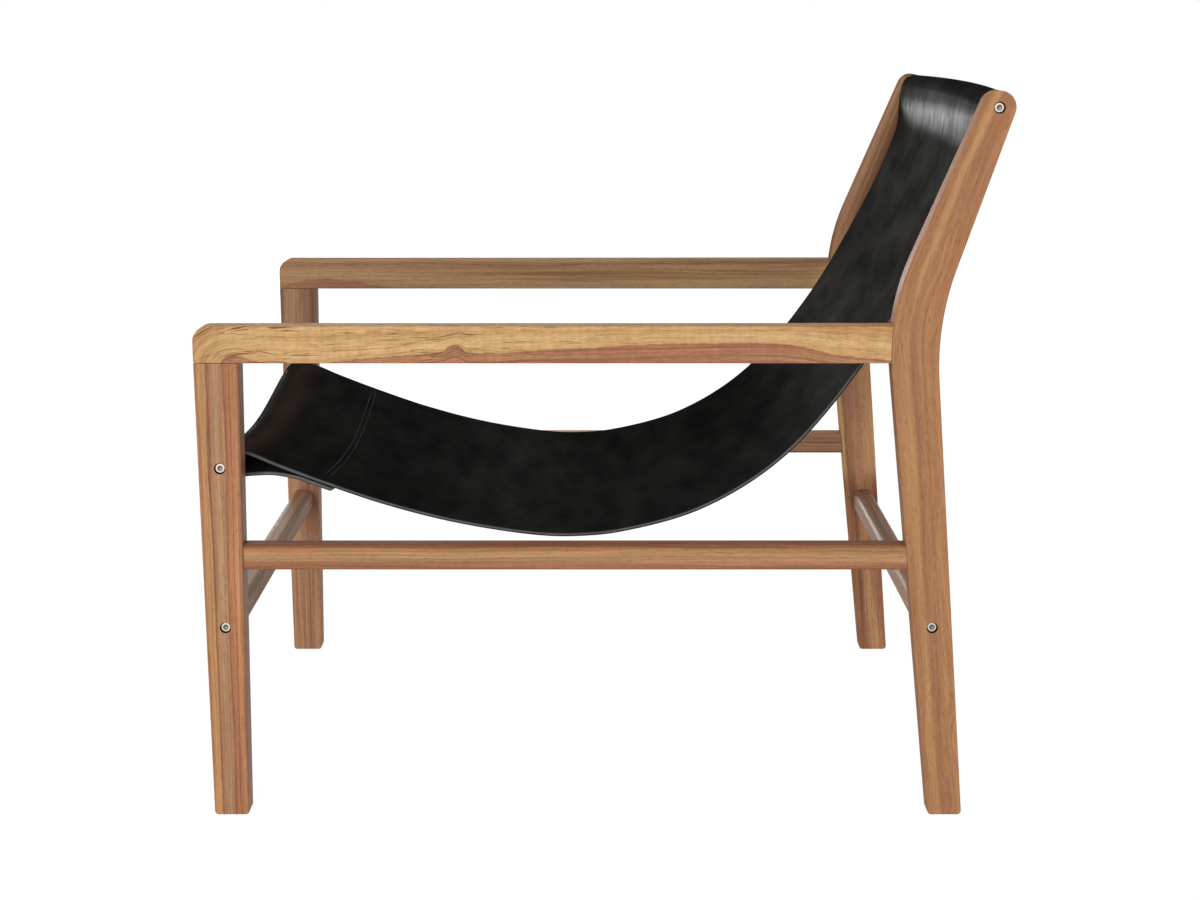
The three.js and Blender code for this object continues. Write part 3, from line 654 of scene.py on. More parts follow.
def leather_profile():
    """The outer face's line, and the numbers of its rows where the stretches begin."""
    front_centre = np.array([FRONT_RAIL_DEPTH, FRONT_RAIL_HEIGHT])
    top_centre = np.array([TOP_RAIL_DEPTH, TOP_RAIL_HEIGHT])
    run, rise = top_centre - front_centre
    sitting_line = [front_centre + (run * a, -SEAT_SAG * b + rise * c) for a, b, c in SITTING_SHARES]
    flap_line = [front_centre + (FLAP_LENGTH * a, -FRONT_OUTER * b) for a, b in FLAP_SHARES]
    flap_touch = touch_angle(flap_line[-1], front_centre, FRONT_OUTER, 1)
    seat_touch = touch_angle(sitting_line[0], front_centre, FRONT_OUTER, -1)
    back_touch = touch_angle(sitting_line[-1], top_centre, TOP_OUTER, 1)
    round_front = arc(front_centre, FRONT_OUTER, flap_touch, seat_touch, 30)
    round_top = arc(top_centre, TOP_OUTER, back_touch, LEATHER_END_ANGLE, 40)
    sitting = spline([round_front[-1], *sitting_line, round_top[0]], 300)
    apart = 2 * LEATHER_THICKNESS + FLAP_GAP
    below = sitting + normals_along(sitting) * apart
    flap_end = FRONT_RAIL_DEPTH + FLAP_LENGTH
    doubled = [
        b for p, b in zip(sitting, below)
        if p[0] < flap_end + 3 and b[0] > flap_line[0][0] + 2 * LEATHER_THICKNESS and p[1] < FRONT_RAIL_HEIGHT
    ][::-1]
    free = spline([doubled[-1], *flap_line, round_front[0]], 24)
    line = [*doubled[:-1], *free[:-1]]
    first_front = len(line)
    line += list(round_front[:-1])
    first_seat = len(line)
    line += list(sitting[:-1])
    first_top = len(line)
    line += list(round_top)
    line = np.array(line)
    # The upper back stands a little forward, with a soft fold below the top rail.
    drop = TOP_RAIL_HEIGHT + TOP_OUTER - line[first_seat:, 1]
    front_half = line[first_seat:, 0] < TOP_RAIL_DEPTH
    line[first_seat:, 0] -= np.where(front_half, np.interp(drop, *zip(*FORWARD_LEAN)), 0)
    return line, first_front, first_seat, first_top


PROFILE, FIRST_FRONT, FIRST_SEAT, FIRST_TOP = leather_profile()
PROFILE_NORMALS = normals_along(PROFILE)
ALONG = np.concatenate([[0], np.cumsum(np.linalg.norm(np.diff(PROFILE, axis=0), axis=1))])
SEAT_SHARE = np.clip((ALONG - ALONG[FIRST_SEAT]) / (ALONG[FIRST_TOP] - ALONG[FIRST_SEAT]), 0, 1)

# The front roll hangs a little lower and further back on the sitter's left than on the right.
FRONT_TWIST_BACK = 3.0
FRONT_TWIST_DOWN = 2.5
TWIST_STEEPNESS = 2.6
TWIST_REACH = 0.25
LEATHER_EDGE_RADIUS = 0.9
LEATHER_EDGE_EASING = 0.3
LEATHER_COLUMNS = 48


def between_rows(table, i):
    """A value of a table at a row, or between two."""
    low = int(i)
    return table[low] * (low + 1 - i) + table[low + 1] * (i - low) if i > low else table[low]


def bowed(x, i):
    """How far the leather has moved back and up, at a place across and a row of the profile."""
    share = bow_share(x)
    seat = between_rows(SEAT_SHARE, i)
    twist = x / HALF_INSIDE * share * TWIST_STEEPNESS * max(0.0, 1 - seat / TWIST_REACH)
    back = FRONT_BOW_BACK * (1 - seat) + TOP_BOW_BACK * seat
    up = -FRONT_BOW_DOWN * (1 - seat) + TOP_BOW_UP * seat
    return back * share + FRONT_TWIST_BACK * twist, up * share - FRONT_TWIST_DOWN * twist


def leather_point(x, i, below):
    back, up = bowed(x, i)
    depth, height = PROFILE[i] + PROFILE_NORMALS[i] * below
    return (x, depth + back, height + up)


def leather_ring():
    """The section of the sheet: how far across, how far below the outer face, and which face follows."""
    edge, half, thick = LEATHER_EDGE_RADIUS, LEATHER_WIDTH / 2, LEATHER_THICKNESS
    # The cut edge, from the outer face to the inner face: how far in from the side, how far below
    ease = LEATHER_EDGE_EASING * edge
    rim = [(ease, ease), (0, edge), (0, thick - edge), (ease, thick - ease)]
    across = [half * (2 * j / LEATHER_COLUMNS - 1) for j in range(LEATHER_COLUMNS + 1)]
    across[0], across[-1] = -half + edge, half - edge
    grain, cut_edge, flesh = 0, 1, 2
    ring = [(x, 0, grain) for x in across[:-1]] + [(across[-1], 0, cut_edge)]
    ring += [(half - a, b, cut_edge) for a, b in rim]
    ring += [(x, thick, flesh) for x in across[:0:-1]] + [(across[0], thick, cut_edge)]
    return ring + [(-half + a, b, cut_edge) for a, b in rim[::-1]]


RING = leather_ring()
leather = make_object(
    "black_leather_sheet", [leather_point(x, i, below) for i in range(len(PROFILE)) for x, below, _ in RING],
    skin(len(PROFILE), len(RING)))
mesh = leather.data
kinds = [kind for _, _, kind in RING] * (len(PROFILE) - 1) + [1, 1]
mesh.polygons.foreach_set("material_index", kinds)
MARKS = {
    "along": np.repeat(ALONG, len(RING)),
    "below": np.tile([below for _, below, _ in RING], len(PROFILE)),
}
for name, values in MARKS.items():
    mesh.attributes.new(name, "FLOAT", "POINT").data.foreach_set("value", values * MM)
mesh.update()
SHEET_LENGTH = float(ALONG[-1])
smooth(leather, 60)
PIECES["leather_sling"] = finish_piece(leather, "black_leather", "leather_sling")


# Tacks: domed heads and tapered shanks, under the back of the top rail

TACK_HEAD_RIM = 0.2


def tack(name, x):
    way = math.radians(TACK_ANGLE)
    direction = np.array([math.cos(way), math.sin(way)])
    side = np.array([-direction[1], direction[0]])
    head, shank, rim = TACK_HEAD_DIAMETER / 2, TACK_SHANK_DIAMETER / 2, TACK_HEAD_RIM
    profile = [(-TACK_SHANK_LENGTH, 0), (-TACK_SHANK_LENGTH + 3 * shank, shank), (0, shank), (0, head - rim)]
    profile += [(rim + (TACK_HEAD_HEIGHT - rim) * math.sin(a), head * math.cos(a)) for a in quarter(8)[:-1]]
    profile.append((TACK_HEAD_HEIGHT, 0))
    share = bow_share(x)
    centre = np.array([TOP_RAIL_DEPTH + TOP_BOW_BACK * share, TOP_RAIL_HEIGHT + TOP_BOW_UP * share])
    made = turned(name, profile, (0, 0), 32)
    # The turned piece lies along X: turn it to the tack's own direction.
    for v in made.data.vertices:
        along, a, b = v.co.x / MM, v.co.y / MM + DEPTH_MIDDLE, v.co.z / MM
        p = centre + direction * (TOP_OUTER + 2 * TACK_SLACK + along) + side * a
        v.co = ((x + b) * MM, (p[0] - DEPTH_MIDDLE) * MM, p[1] * MM)
    edit_faces(made.data, bmesh.ops.recalc_face_normals)
    return smooth(made)


TACK_PITCH = (LEATHER_WIDTH - 2 * TACK_EDGE_MARGIN) / (TACK_COUNT - 1)
for i in range(TACK_COUNT):
    made = tack(f"domed_tack_{i + 1}", (i - (TACK_COUNT - 1) / 2) * TACK_PITCH)
    PIECES[f"sling_tack_{i + 1}"] = finish_piece(made, "tack_metal", f"sling_tack_{i + 1}")


# Stitching: two rows through the seat and the flap, lying on both outer faces

STITCH_ROW_DEPTHS = (117.3, 122.6)
STITCH_EDGE_MARGIN = 29
STITCH_LENGTH = 4.2
STITCH_PITCH = 5.4
THREAD_DIAMETER = 0.9


def stitch_places():
    """Rows of the profile, with fractions, where the two seams lie on the seat and on the flap below it."""
    places = []
    near = PROFILE[:FIRST_FRONT]
    steps = np.diff(near, axis=0)
    for row_depth in STITCH_ROW_DEPTHS:
        last = next(i for i in range(FIRST_SEAT, len(PROFILE)) if PROFILE[i][0] > row_depth)
        seat = last - (PROFILE[last][0] - row_depth) / (PROFILE[last][0] - PROFILE[last - 1][0])
        through = between_rows(PROFILE, seat)
        through = through + between_rows(PROFILE_NORMALS, seat) * (2 * LEATHER_THICKNESS + FLAP_GAP)
        shares = np.clip(((through - near[:-1]) * steps).sum(1) / (steps**2).sum(1), 0, 1)
        gaps = np.linalg.norm(near[:-1] + steps * shares[:, None] - through, axis=1)
        nearest = int(np.argmin(gaps))
        places += [seat, nearest + float(shares[nearest]) * 0.999]
    return places


def stitches():
    points, faces = [], []
    sides, steps = 8, 6
    count = int((LEATHER_WIDTH - 2 * STITCH_EDGE_MARGIN) / STITCH_PITCH)
    for place in stitch_places():
        middle_line, normal = between_rows(PROFILE, place), between_rows(PROFILE_NORMALS, place)
        normal = normal / np.linalg.norm(normal)
        way = np.array([-normal[1], normal[0]])
        for n in range(count):
            faces += [tuple(len(points) + i for i in face) for face in skin(steps + 1, sides)]
            for t in np.linspace(-1, 1, steps + 1):
                x = (n - (count - 1) / 2) * STITCH_PITCH + t * STITCH_LENGTH / 2
                lift = THREAD_DIAMETER * (0.3 - 0.75 * t**4)
                centre = middle_line + bowed(x, place) - normal * lift
                for a, b in circle(THREAD_DIAMETER / 2 * (1 - 0.25 * t**2), sides):
                    points.append((x, *(centre + way * a - normal * b)))
    return points, faces


made = make_object("sling_stitching", *stitches())
made.data.shade_smooth()
PIECES["stitching"] = finish_piece(made, "black_leather")


# Materials

def linear(*rgb):
    """A colour that is seen as these 0 to 255 values."""
    return tuple(c / 3294.6 if c <= 10 else ((c / 255 + 0.055) / 1.055) ** 2.4 for c in rgb) + (1.0,)


def add_node(tree, kind, inputs=(), **settings):
    """A node with its settings, and a number or a link for each of its inputs."""
    node = tree.nodes.new("ShaderNode" + kind)
    for name, value in settings.items():
        setattr(node, name, value)
    for key, value in dict(inputs).items():
        put(tree, node.inputs[key], value)
    return node


def put(tree, socket, value):
    if isinstance(value, bpy.types.NodeSocket):
        tree.links.new(value, socket)
    else:
        socket.default_value = value


class Shader:
    """A material whose nodes are made by short calls. Lengths inside it are millimetres."""

    def __init__(self, name):
        self.material = bpy.data.materials.new(name)
        self.material.use_nodes = True
        self.tree = self.material.node_tree
        split = self.node("SeparateXYZ", {0: self.node("TexCoord").outputs["Object"]})
        self.x, self.y, self.z = (self.times(axis, 1 / MM) for axis in split.outputs)
        self.y = self.add(self.y, DEPTH_MIDDLE)

    def node(self, kind, inputs=(), **settings):
        return add_node(self.tree, kind, inputs, **settings)

    def math(self, operation, *values):
        return self.node("Math", enumerate(values), operation=operation).outputs[0]

    def add(self, a, b):
        return self.math("ADD", a, b)

    def minus(self, a, b):
        return self.math("SUBTRACT", a, b)

    def times(self, a, b):
        return self.math("MULTIPLY", a, b)

    def absolute(self, value):
        return self.math("ABSOLUTE", value)

    def line(self, value, slope, start):
        return self.math("MULTIPLY_ADD", value, slope, start)

    def sway(self, noise, width):
        """Noise turned into a shift to both sides."""
        return self.line(noise, width, -width / 2)

    def spread(self, value, low, high, to_low=0.0, to_high=1.0, kind="LINEAR"):
        inputs = enumerate((value, low, high, to_low, to_high))
        return self.node("MapRange", inputs, interpolation_type=kind).outputs[0]

    def soft(self, *values):
        """A spread that eases in and out."""
        return self.spread(*values, kind="SMOOTHSTEP")

    def about(self, noise, low, depth):
        """Noise turned into a factor that lies about 1."""
        return self.spread(noise, low, 1 - low, 1 - depth, 1 + depth)

    def away(self, depth, height):
        """The distance from a line that runs across the chair."""
        squares = [self.math("POWER", self.add(a, -b), 2.0) for a, b in ((self.y, depth), (self.z, height))]
        return self.math("SQRT", self.add(*squares))

    def place(self, sizes, places):
        scaled = enumerate(self.times(place, 1 / size) for size, place in zip(sizes, places))
        return self.node("CombineXYZ", scaled).outputs[0]

    def noise(self, sizes, places, detail=2.0, rough=0.5, distortion=0.0):
        """Noise whose blotches measure about these sizes along these places."""
        return self.node("TexNoise", {
            "Vector": self.place(sizes, places), "Scale": 1.0, "Detail": detail, "Roughness": rough,
            "Distortion": distortion,
        }).outputs[0]

    def cells(self, size, places):
        inputs = {"Vector": self.place([size] * 3, places), "Scale": 1.0}
        return self.node("TexVoronoi", inputs).outputs["Distance"]

    def ramp(self, value, stops):
        node = self.node("ValToRGB", {0: value})
        elements = node.color_ramp.elements
        while len(elements) < len(stops):
            elements.new(0.5)
        for element, (at, colour) in zip(elements, sorted(stops)):
            element.position = at
            element.color = linear(*colour)
        return node.outputs[0]

    def mix(self, share, a, b, blend="MIX"):
        return self.node("Mix", {0: share, 6: a, 7: b}, data_type="RGBA", blend_type=blend).outputs[2]

    def shaded(self, colour, factor):
        grey = self.node("CombineColor", {0: factor, 1: factor, 2: factor}).outputs[0]
        return self.mix(1.0, colour, grey, "MULTIPLY")

    def curve(self, value, points, low, high, height):
        """A line through (value, height) points."""
        node = self.node("FloatCurve", {"Value": self.spread(value, low, high)})
        line = node.mapping.curves[0].points
        shares = [((v - low) / (high - low), h / height) for v, h in sorted(points)]
        line[0].location, line[1].location = shares[0], shares[-1]
        for share in shares[1:-1]:
            line.new(*share)
        node.mapping.update()
        return self.times(node.outputs[0], height)

    def up_curve(self, points, height=1.0):
        return self.curve(self.z, points, 0, OVERALL_HEIGHT, height)

    def bump(self, height, distance, strength):
        node = self.node("Bump", {"Strength": strength, "Distance": distance * MM, "Height": height})
        self.set(Normal=node.outputs[0])

    def set(self, **values):
        surface = self.tree.nodes["Principled BSDF"]
        for name, value in values.items():
            put(self.tree, surface.inputs[name.replace("_", " ")], value)


# Wood: broad stripes, narrow stripes, fibres and short dark pores, all drawn out along the grain.
# A palette runs from the darkest to the lightest growth.

LEG_PALETTE = [
    (0.22, (138, 90, 66)), (0.38, (160, 107, 79)), (0.5, (174, 121, 87)), (0.62, (188, 137, 94)),
    (0.8, (204, 156, 108)),
]
POST_PALETTE = [
    (0.2, (146, 98, 70)), (0.42, (166, 116, 82)), (0.54, (178, 130, 90)), (0.75, (192, 146, 101)),
]
ARM_PALETTE = [
    (0.2, (174, 127, 84)), (0.4, (201, 157, 106)), (0.55, (212, 171, 119)), (0.8, (222, 185, 136)),
]
# A darker copy of the post's palette for the far post: painted shade
FAR_POST_SHADED_PALETTE = [
    (0.2, (124, 82, 60)), (0.42, (148, 103, 77)), (0.54, (162, 116, 86)), (0.75, (178, 134, 96)),
]
FAR_LEG_PALETTE = [
    (0.22, (138, 96, 72)), (0.38, (158, 113, 85)), (0.5, (170, 124, 93)), (0.62, (182, 138, 101)),
    (0.8, (196, 154, 114)),
]
FAR_ARM_PALETTE = [
    (0.2, (132, 96, 68)), (0.4, (158, 120, 86)), (0.55, (176, 139, 101)), (0.8, (191, 154, 114)),
]
# A lighter copy of the bar palette for the far side stretcher: painted light
FAR_BAR_LIT_PALETTE = [
    (0.2, (152, 106, 80)), (0.4, (178, 130, 97)), (0.55, (196, 148, 113)), (0.8, (212, 167, 130)),
]
DARK_PALETTE = [(0.2, (34, 26, 21)), (0.5, (48, 37, 30)), (0.8, (62, 49, 40))]
BAR_PALETTE = [(0.2, (138, 96, 72)), (0.4, (162, 118, 88)), (0.55, (178, 134, 102)), (0.8, (194, 152, 118))]
PLAIN_PALETTE = [(0.2, (186, 148, 102)), (0.5, (204, 168, 120)), (0.8, (218, 184, 138))]


# How far each next board is moved in the grain, along it and into it, and the dashes in each board
BOARD_SHIFT, BOARD_SHIFT_IN = 431.0, 57.0
DASH_SHIFT, CROWD_SHIFT = 77.0, 33.0
DASH_SOFTNESS = 0.035
PORE_BROWN = linear(104, 66, 38)
BORE_SHADE_AND_END_GRAIN = linear(52, 32, 22)


def wood(name, grain, seed, palette, bands=None, share=None, band_weight=0.75, flow=None, patch=None,
         pores=0.35, figure=0.06, ripple=0.0, stripes=(13.0, 3.0), contrast=(1.3, 0.9), height_shade=None, bores=(),
         wave=9.0, dashes=(11.0, 0.6), fibres=44.0, pepper=1.0, gloss=0.15, matt=0.56, fading=None):
    n = Shader(name)
    along, across, through = (getattr(n, axis) for axis in grain)
    along = n.add(along, seed * BOARD_SHIFT)
    level = across if flow is None else flow(n)
    level = n.add(level, n.sway(n.noise((170, 45, 45), (along, level, through)), wave))
    deep = n.add(through, seed * BOARD_SHIFT_IN)
    grown = (along, level, deep)
    broad = n.noise((520, stripes[0], 30), grown, 1.5)
    narrow = n.noise((190, stripes[1], 9), grown, 3)
    fibre = n.noise((fibres, 0.8, 0.9), grown, 3)
    fine = n.noise((120, 1.5, 4), grown)
    pore = n.noise((6.5, 0.8, 0.8), grown, 1)
    dash = n.noise((dashes[0], 0.95, 3), (n.add(along, DASH_SHIFT), level, deep), 2, 0.4, 0.3)
    crowd = n.noise((70, 9, 12), (n.add(along, CROWD_SHIFT), level, deep))
    mottle = n.noise((14, 5, 9), grown, 3, 0.6)
    growth = n.add(n.line(broad, contrast[0], 0.5 - contrast[0] / 2), n.sway(narrow, contrast[1]))
    colour = n.ramp(growth, palette)
    if bands is not None:
        wobble = n.add(n.sway(n.noise((150, 6, 20), grown), 0.12), n.sway(n.noise((16, 5, 20), grown), 0.03))
        drawn = n.shaded(n.ramp(n.add(share(n), wobble), bands), n.about(growth, 0.1, 0.22))
        colour = n.mix(band_weight, colour, drawn)
    if patch is not None:
        colour = patch(n, colour, growth, along, level)
    shade = n.times(n.spread(fibre, 0.25, 0.75, 0.88, 1.11), n.about(mottle, 0.25, figure))
    shade = n.times(shade, n.about(fine, 0.3, 0.06))
    if ripple:
        shade = n.times(shade, n.about(n.noise((4.5, 30, 20), grown, 1), 0.3, ripple))
    # Painted light and shade: the colour is made lighter or darker by height
    if height_shade is not None:
        shade = n.times(shade, n.up_curve(height_shade, 2.0))
    colour = n.shaded(colour, shade)
    hollow = n.soft(pore, 0.6, 0.7)
    slit = n.times(n.soft(dash, dashes[1], dashes[1] + DASH_SOFTNESS), n.soft(crowd, 0.42, 0.6, 0.08, 1.0))
    if fading is not None:
        slit = n.times(slit, n.spread(n.y, *fading))
    colour = n.mix(n.times(n.math("MAXIMUM", n.times(hollow, pepper), slit), pores), colour, PORE_BROWN)
    # Painted shade on the counterbores' walls, with darker end grain there as well
    for bore in bores:
        dark = n.soft(n.away(*bore), COUNTERBORE_RADIUS + 0.35, COUNTERBORE_RADIUS + 0.05)
        colour = n.mix(dark, colour, BORE_SHADE_AND_END_GRAIN)
    rough = n.spread(fibre, 0.2, 0.8, matt, matt + 0.16)
    n.set(Base_Color=colour, Roughness=rough, IOR=1.45, Specular_IOR_Level=gloss)
    n.bump(n.add(n.times(fibre, 0.6), n.times(hollow, -0.7)), 0.09, 0.8)
    return n.material


def across_leg(n):
    front = n.line(n.z, -FRONT_LEG_FOOT_SETBACK / ARMREST_BOTTOM, FRONT_LEG_FOOT_SETBACK)
    width = n.line(n.z, (FRONT_LEG_TOP_WIDTH - FRONT_LEG_FOOT_WIDTH) / ARMREST_BOTTOM, FRONT_LEG_FOOT_WIDTH)
    return n.math("DIVIDE", n.minus(n.y, front), width)


def up_stretcher(n):
    return n.line(n.z, 1 / SIDE_STRETCHER_HEIGHT, -SIDE_STRETCHER_BOTTOM / SIDE_STRETCHER_HEIGHT)


POST_BEND_SOFTNESS = 30.0
POST_FOOT_MIDDLE = REAR_FOOT_FRONT + REAR_FOOT_WIDTH / 2
POST_BEND_MIDDLE = BEND_FRONT_DEPTH + BEND_WIDTH / 2
POST_BEND_LEVEL = BEND_FRONT_HEIGHT - BEND_BACK_DROP / 2
POST_LOW_SLOPE = (POST_BEND_MIDDLE - POST_FOOT_MIDDLE) / POST_BEND_LEVEL
POST_HIGH_SLOPE = (TOP_RAIL_DEPTH - POST_BEND_MIDDLE) / (TOP_RAIL_HEIGHT - POST_BEND_LEVEL)


def along_post(n):
    """Depth behind the post's middle line, so that the grain follows the bend."""
    low = n.line(n.z, POST_LOW_SLOPE, POST_FOOT_MIDDLE)
    high = n.line(n.z, POST_HIGH_SLOPE, POST_BEND_MIDDLE - POST_HIGH_SLOPE * POST_BEND_LEVEL)
    return n.minus(n.y, n.math("SMOOTH_MAX", low, high, POST_BEND_SOFTNESS))


def post_bands(n, colour, growth, place, middle, bands, weights, depth):
    """Stripes from the post's front edge to its back, as clear at each height as the weights say."""
    share = n.add(n.math("DIVIDE", place, n.up_curve(POST_WIDTHS, HIGHEST_POST_WIDTH)), middle)
    drawn = n.shaded(n.ramp(share, bands), n.about(growth, 0.1, depth))
    return n.mix(n.up_curve(weights), colour, drawn)


def near_post_patch(n, colour, growth, along, level):
    """Stripes of the near post, clearest below the armrest."""
    wobble = n.add(n.sway(n.noise((190, 12, 20), (along, n.y, n.x)), 0.16), 0.5)
    return post_bands(n, colour, growth, along_post(n), wobble, NEAR_POST_BANDS, POST_BAND_WEIGHTS, 0.14)


def far_post_patch(n, colour, growth, along, level):
    """Stripes on the far post, above and below the armrest, with painted shade on its rear half above the
    armrest and painted light below it.
    """
    drawn = n.shaded(n.ramp(n.line(level, 1 / BEND_WIDTH, 0.5), FAR_POST_UPPER_SHADE_BANDS), n.about(growth, 0.1, 0.2))
    colour = n.mix(n.soft(n.z, *FAR_POST_UPPER_HEIGHTS, 0.0, 0.85), colour, drawn)
    return post_bands(n, colour, growth, level, 0.5, FAR_POST_LOW_LIT_BANDS, FAR_POST_LOW_WEIGHTS, 0.2)


# The near armrest has a tongue of dark heartwood along its lower edge. Each pair is a depth and how
# high the heartwood reaches there above the armrest's lower face.
HEARTWOOD_EDGE = [
    (0, -4), (22, -3), (31, 5), (40, 8), (50, 6), (62, 2), (80, 0.3), (120, -1), (139, 1), (189, 6),
    (226, 9), (251, 12), (264, 18.5), (274, 11), (302, 9.5), (325, 11.5), (407, 16), (437, 18), (507, 20),
    (582, 20), (607, 17), (637, 10), (667, 6), (697, 3),
]
# A dark flame line that runs up through the sapwood
FLAME_LINE = [
    (0, 2), (20, 9), (48, 15), (93, 8.5), (135, 12.5), (195, 16), (217, 20), (245, 26), (276, 33),
    (330, 42),
]
ARM_SPAN = 700.0
HIGHEST_ARM_LINE = 50.0
# The middle of the grain's turn round the armrest's nose, and the depths or heights where marks fade in
NOSE_CURL = (34.0, ARMREST_BOTTOM - 8.0)
CURL_REACH, FLAME_REACH, BLUSH_REACH, BLUSH_HEIGHTS = (44, 14), (282, 250), (560, 690), (18, 36)
FAR_ARCH_DEPTH, FAR_ARCH_SLOPE, FAR_ARCH_HEIGHT, FAR_BAND_HEIGHT = 60.0, -0.16, 15.0, 32.0
HEARTWOOD_SLANT = 0.35
HEARTWOOD_PALETTE = [(0.3, (144, 92, 68)), (0.48, (166, 113, 85)), (0.64, (188, 138, 100))]
HEARTWOOD_RIM = linear(134, 84, 60)
FLAME_BROWN = linear(132, 84, 52)
CURL_BROWN = linear(168, 118, 76)
REAR_BLUSH = linear(190, 124, 78)
FAR_ARCH = linear(150, 100, 74)
FAR_BAND = linear(146, 98, 72)


def arm_curve(n, points):
    return n.curve(n.y, points, 0, ARM_SPAN, HIGHEST_ARM_LINE)


def near_arm_flow(n):
    height = n.add(n.z, -ARMREST_BOTTOM)
    straight = n.minus(height, n.times(arm_curve(n, HEARTWOOD_EDGE), n.spread(height, 0, 42, 0.9, 0.1)))
    return n.add(straight, n.times(n.soft(n.y, 20, 75, 1, 0), n.minus(n.away(*NOSE_CURL), straight)))


def near_arm_patch(n, colour, growth, along, level):
    height = n.add(n.z, -ARMREST_BOTTOM)
    ragged = n.sway(n.noise((7, 3, 6), (along, height, n.x), 3), 3.0)
    slant = n.times(n.minus(OUTER_FACE, n.x), HEARTWOOD_SLANT)
    under = n.minus(n.minus(n.add(arm_curve(n, HEARTWOOD_EDGE), ragged), slant), height)
    colour = n.mix(n.soft(under, -0.4, 0.5), colour, n.ramp(growth, HEARTWOOD_PALETTE))
    colour = n.mix(n.spread(n.absolute(under), 0.2, 1.2, 0.45, 0.0), colour, HEARTWOOD_RIM)
    flame = n.minus(height, n.add(arm_curve(n, FLAME_LINE), n.times(ragged, 0.6)))
    broken = n.spread(n.noise((26, 9, 9), (along, height, n.x)), 0.3, 0.55)
    present = n.times(n.soft(n.y, *FLAME_REACH), broken)
    colour = n.mix(n.times(n.spread(n.absolute(flame), 0.25, 1.1, 0.6, 0.0), present), colour, FLAME_BROWN)
    curl = n.times(n.soft(n.y, *CURL_REACH), n.spread(growth, 0.3, 0.7, 0.5, 0.15))
    blush = n.times(n.soft(n.y, *BLUSH_REACH), n.soft(height, *BLUSH_HEIGHTS))
    return n.mix(n.times(blush, 0.4), n.mix(curl, colour, CURL_BROWN), REAR_BLUSH)


def far_arm_patch(n, colour, growth, along, level):
    height = n.add(n.z, -ARMREST_BOTTOM)
    ragged = n.sway(n.noise((30, 6, 6), (along, height, n.x), 3), 6.0)
    arch = n.line(n.absolute(n.add(n.y, -FAR_ARCH_DEPTH)), FAR_ARCH_SLOPE, FAR_ARCH_HEIGHT)
    arch = n.minus(arch, height)
    colour = n.mix(n.times(n.soft(n.add(arch, ragged), -1, 2), 0.7), colour, FAR_ARCH)
    band = n.absolute(n.add(n.add(height, -FAR_BAND_HEIGHT), ragged))
    return n.mix(n.spread(band, 0.5, 3.0, 0.5, 0.0), colour, FAR_BAND)


FRONT_LEG_BANDS = [
    (0.0, (190, 136, 88)), (0.04, (160, 108, 74)), (0.09, (200, 150, 98)), (0.24, (190, 140, 92)),
    (0.265, (128, 72, 52)), (0.285, (124, 68, 48)), (0.31, (160, 112, 82)), (0.4, (176, 134, 96)),
    (0.47, (188, 148, 108)), (0.53, (170, 128, 92)), (0.6, (176, 128, 90)), (0.64, (134, 78, 58)),
    (0.67, (168, 106, 74)), (0.74, (184, 126, 82)), (0.77, (140, 84, 60)), (0.8, (182, 120, 78)),
    (0.9, (190, 134, 88)), (0.97, (150, 98, 70)),
]
NEAR_POST_BANDS = [
    (0.0, (168, 120, 88)), (0.08, (176, 128, 90)), (0.2, (188, 141, 98)), (0.34, (192, 145, 101)),
    (0.4, (172, 124, 88)), (0.45, (154, 106, 78)), (0.5, (166, 118, 88)), (0.6, (176, 128, 93)),
    (0.65, (163, 115, 82)), (0.7, (177, 128, 91)), (0.86, (172, 121, 85)), (0.92, (182, 130, 90)),
    (1.0, (176, 124, 86)),
]
# The near post's width and how clearly its stripes show, each at a height
POST_WIDTHS = [(0, 36), (520, 49.6), (749, 40)]
HIGHEST_POST_WIDTH = 60.0
FAR_POST_UPPER_HEIGHTS = (500, 600)
POST_BAND_WEIGHTS = [(0, 0.45), (240, 0.5), (330, 0.85), (470, 0.85), (560, 0.5), (749, 0.45)]
# Painted shade above the armrest, darkest on the far post's rear half by the leather, with stripes
FAR_POST_UPPER_SHADE_BANDS = [
    (0.1, (196, 150, 118)), (0.19, (184, 140, 108)), (0.24, (146, 108, 78)), (0.3, (172, 130, 94)),
    (0.36, (128, 92, 68)), (0.5, (116, 80, 56)), (0.57, (144, 104, 74)), (0.66, (118, 82, 58)),
    (1.0, (122, 86, 62)),
]
# Painted light on the far post's lower part, with stripes
FAR_POST_LOW_LIT_BANDS = [
    (0.0, (208, 160, 112)), (0.1, (212, 168, 118)), (0.18, (167, 121, 87)), (0.3, (184, 134, 104)),
    (0.5, (187, 136, 106)), (0.6, (196, 145, 111)), (0.7, (208, 158, 112)), (0.95, (214, 164, 114)),
    (1.0, (204, 150, 106)),
]
FAR_POST_LOW_WEIGHTS = [(0, 0), (215, 0), (255, 0.9), (430, 0.9), (490, 0), (749, 0)]
STRETCHER_BANDS = [
    (0.0, (152, 98, 68)), (0.28, (166, 112, 76)), (0.38, (178, 132, 94)), (0.6, (186, 142, 102)),
    (0.84, (178, 126, 82)), (0.92, (138, 80, 42)),
]

LEG_BORES = [BOLT_PLACES["front_rail"], BOLT_PLACES["front_stretcher"]]
POST_BORES = [BOLT_PLACES["top_rail"], BOLT_PLACES["rear_stretcher"]]
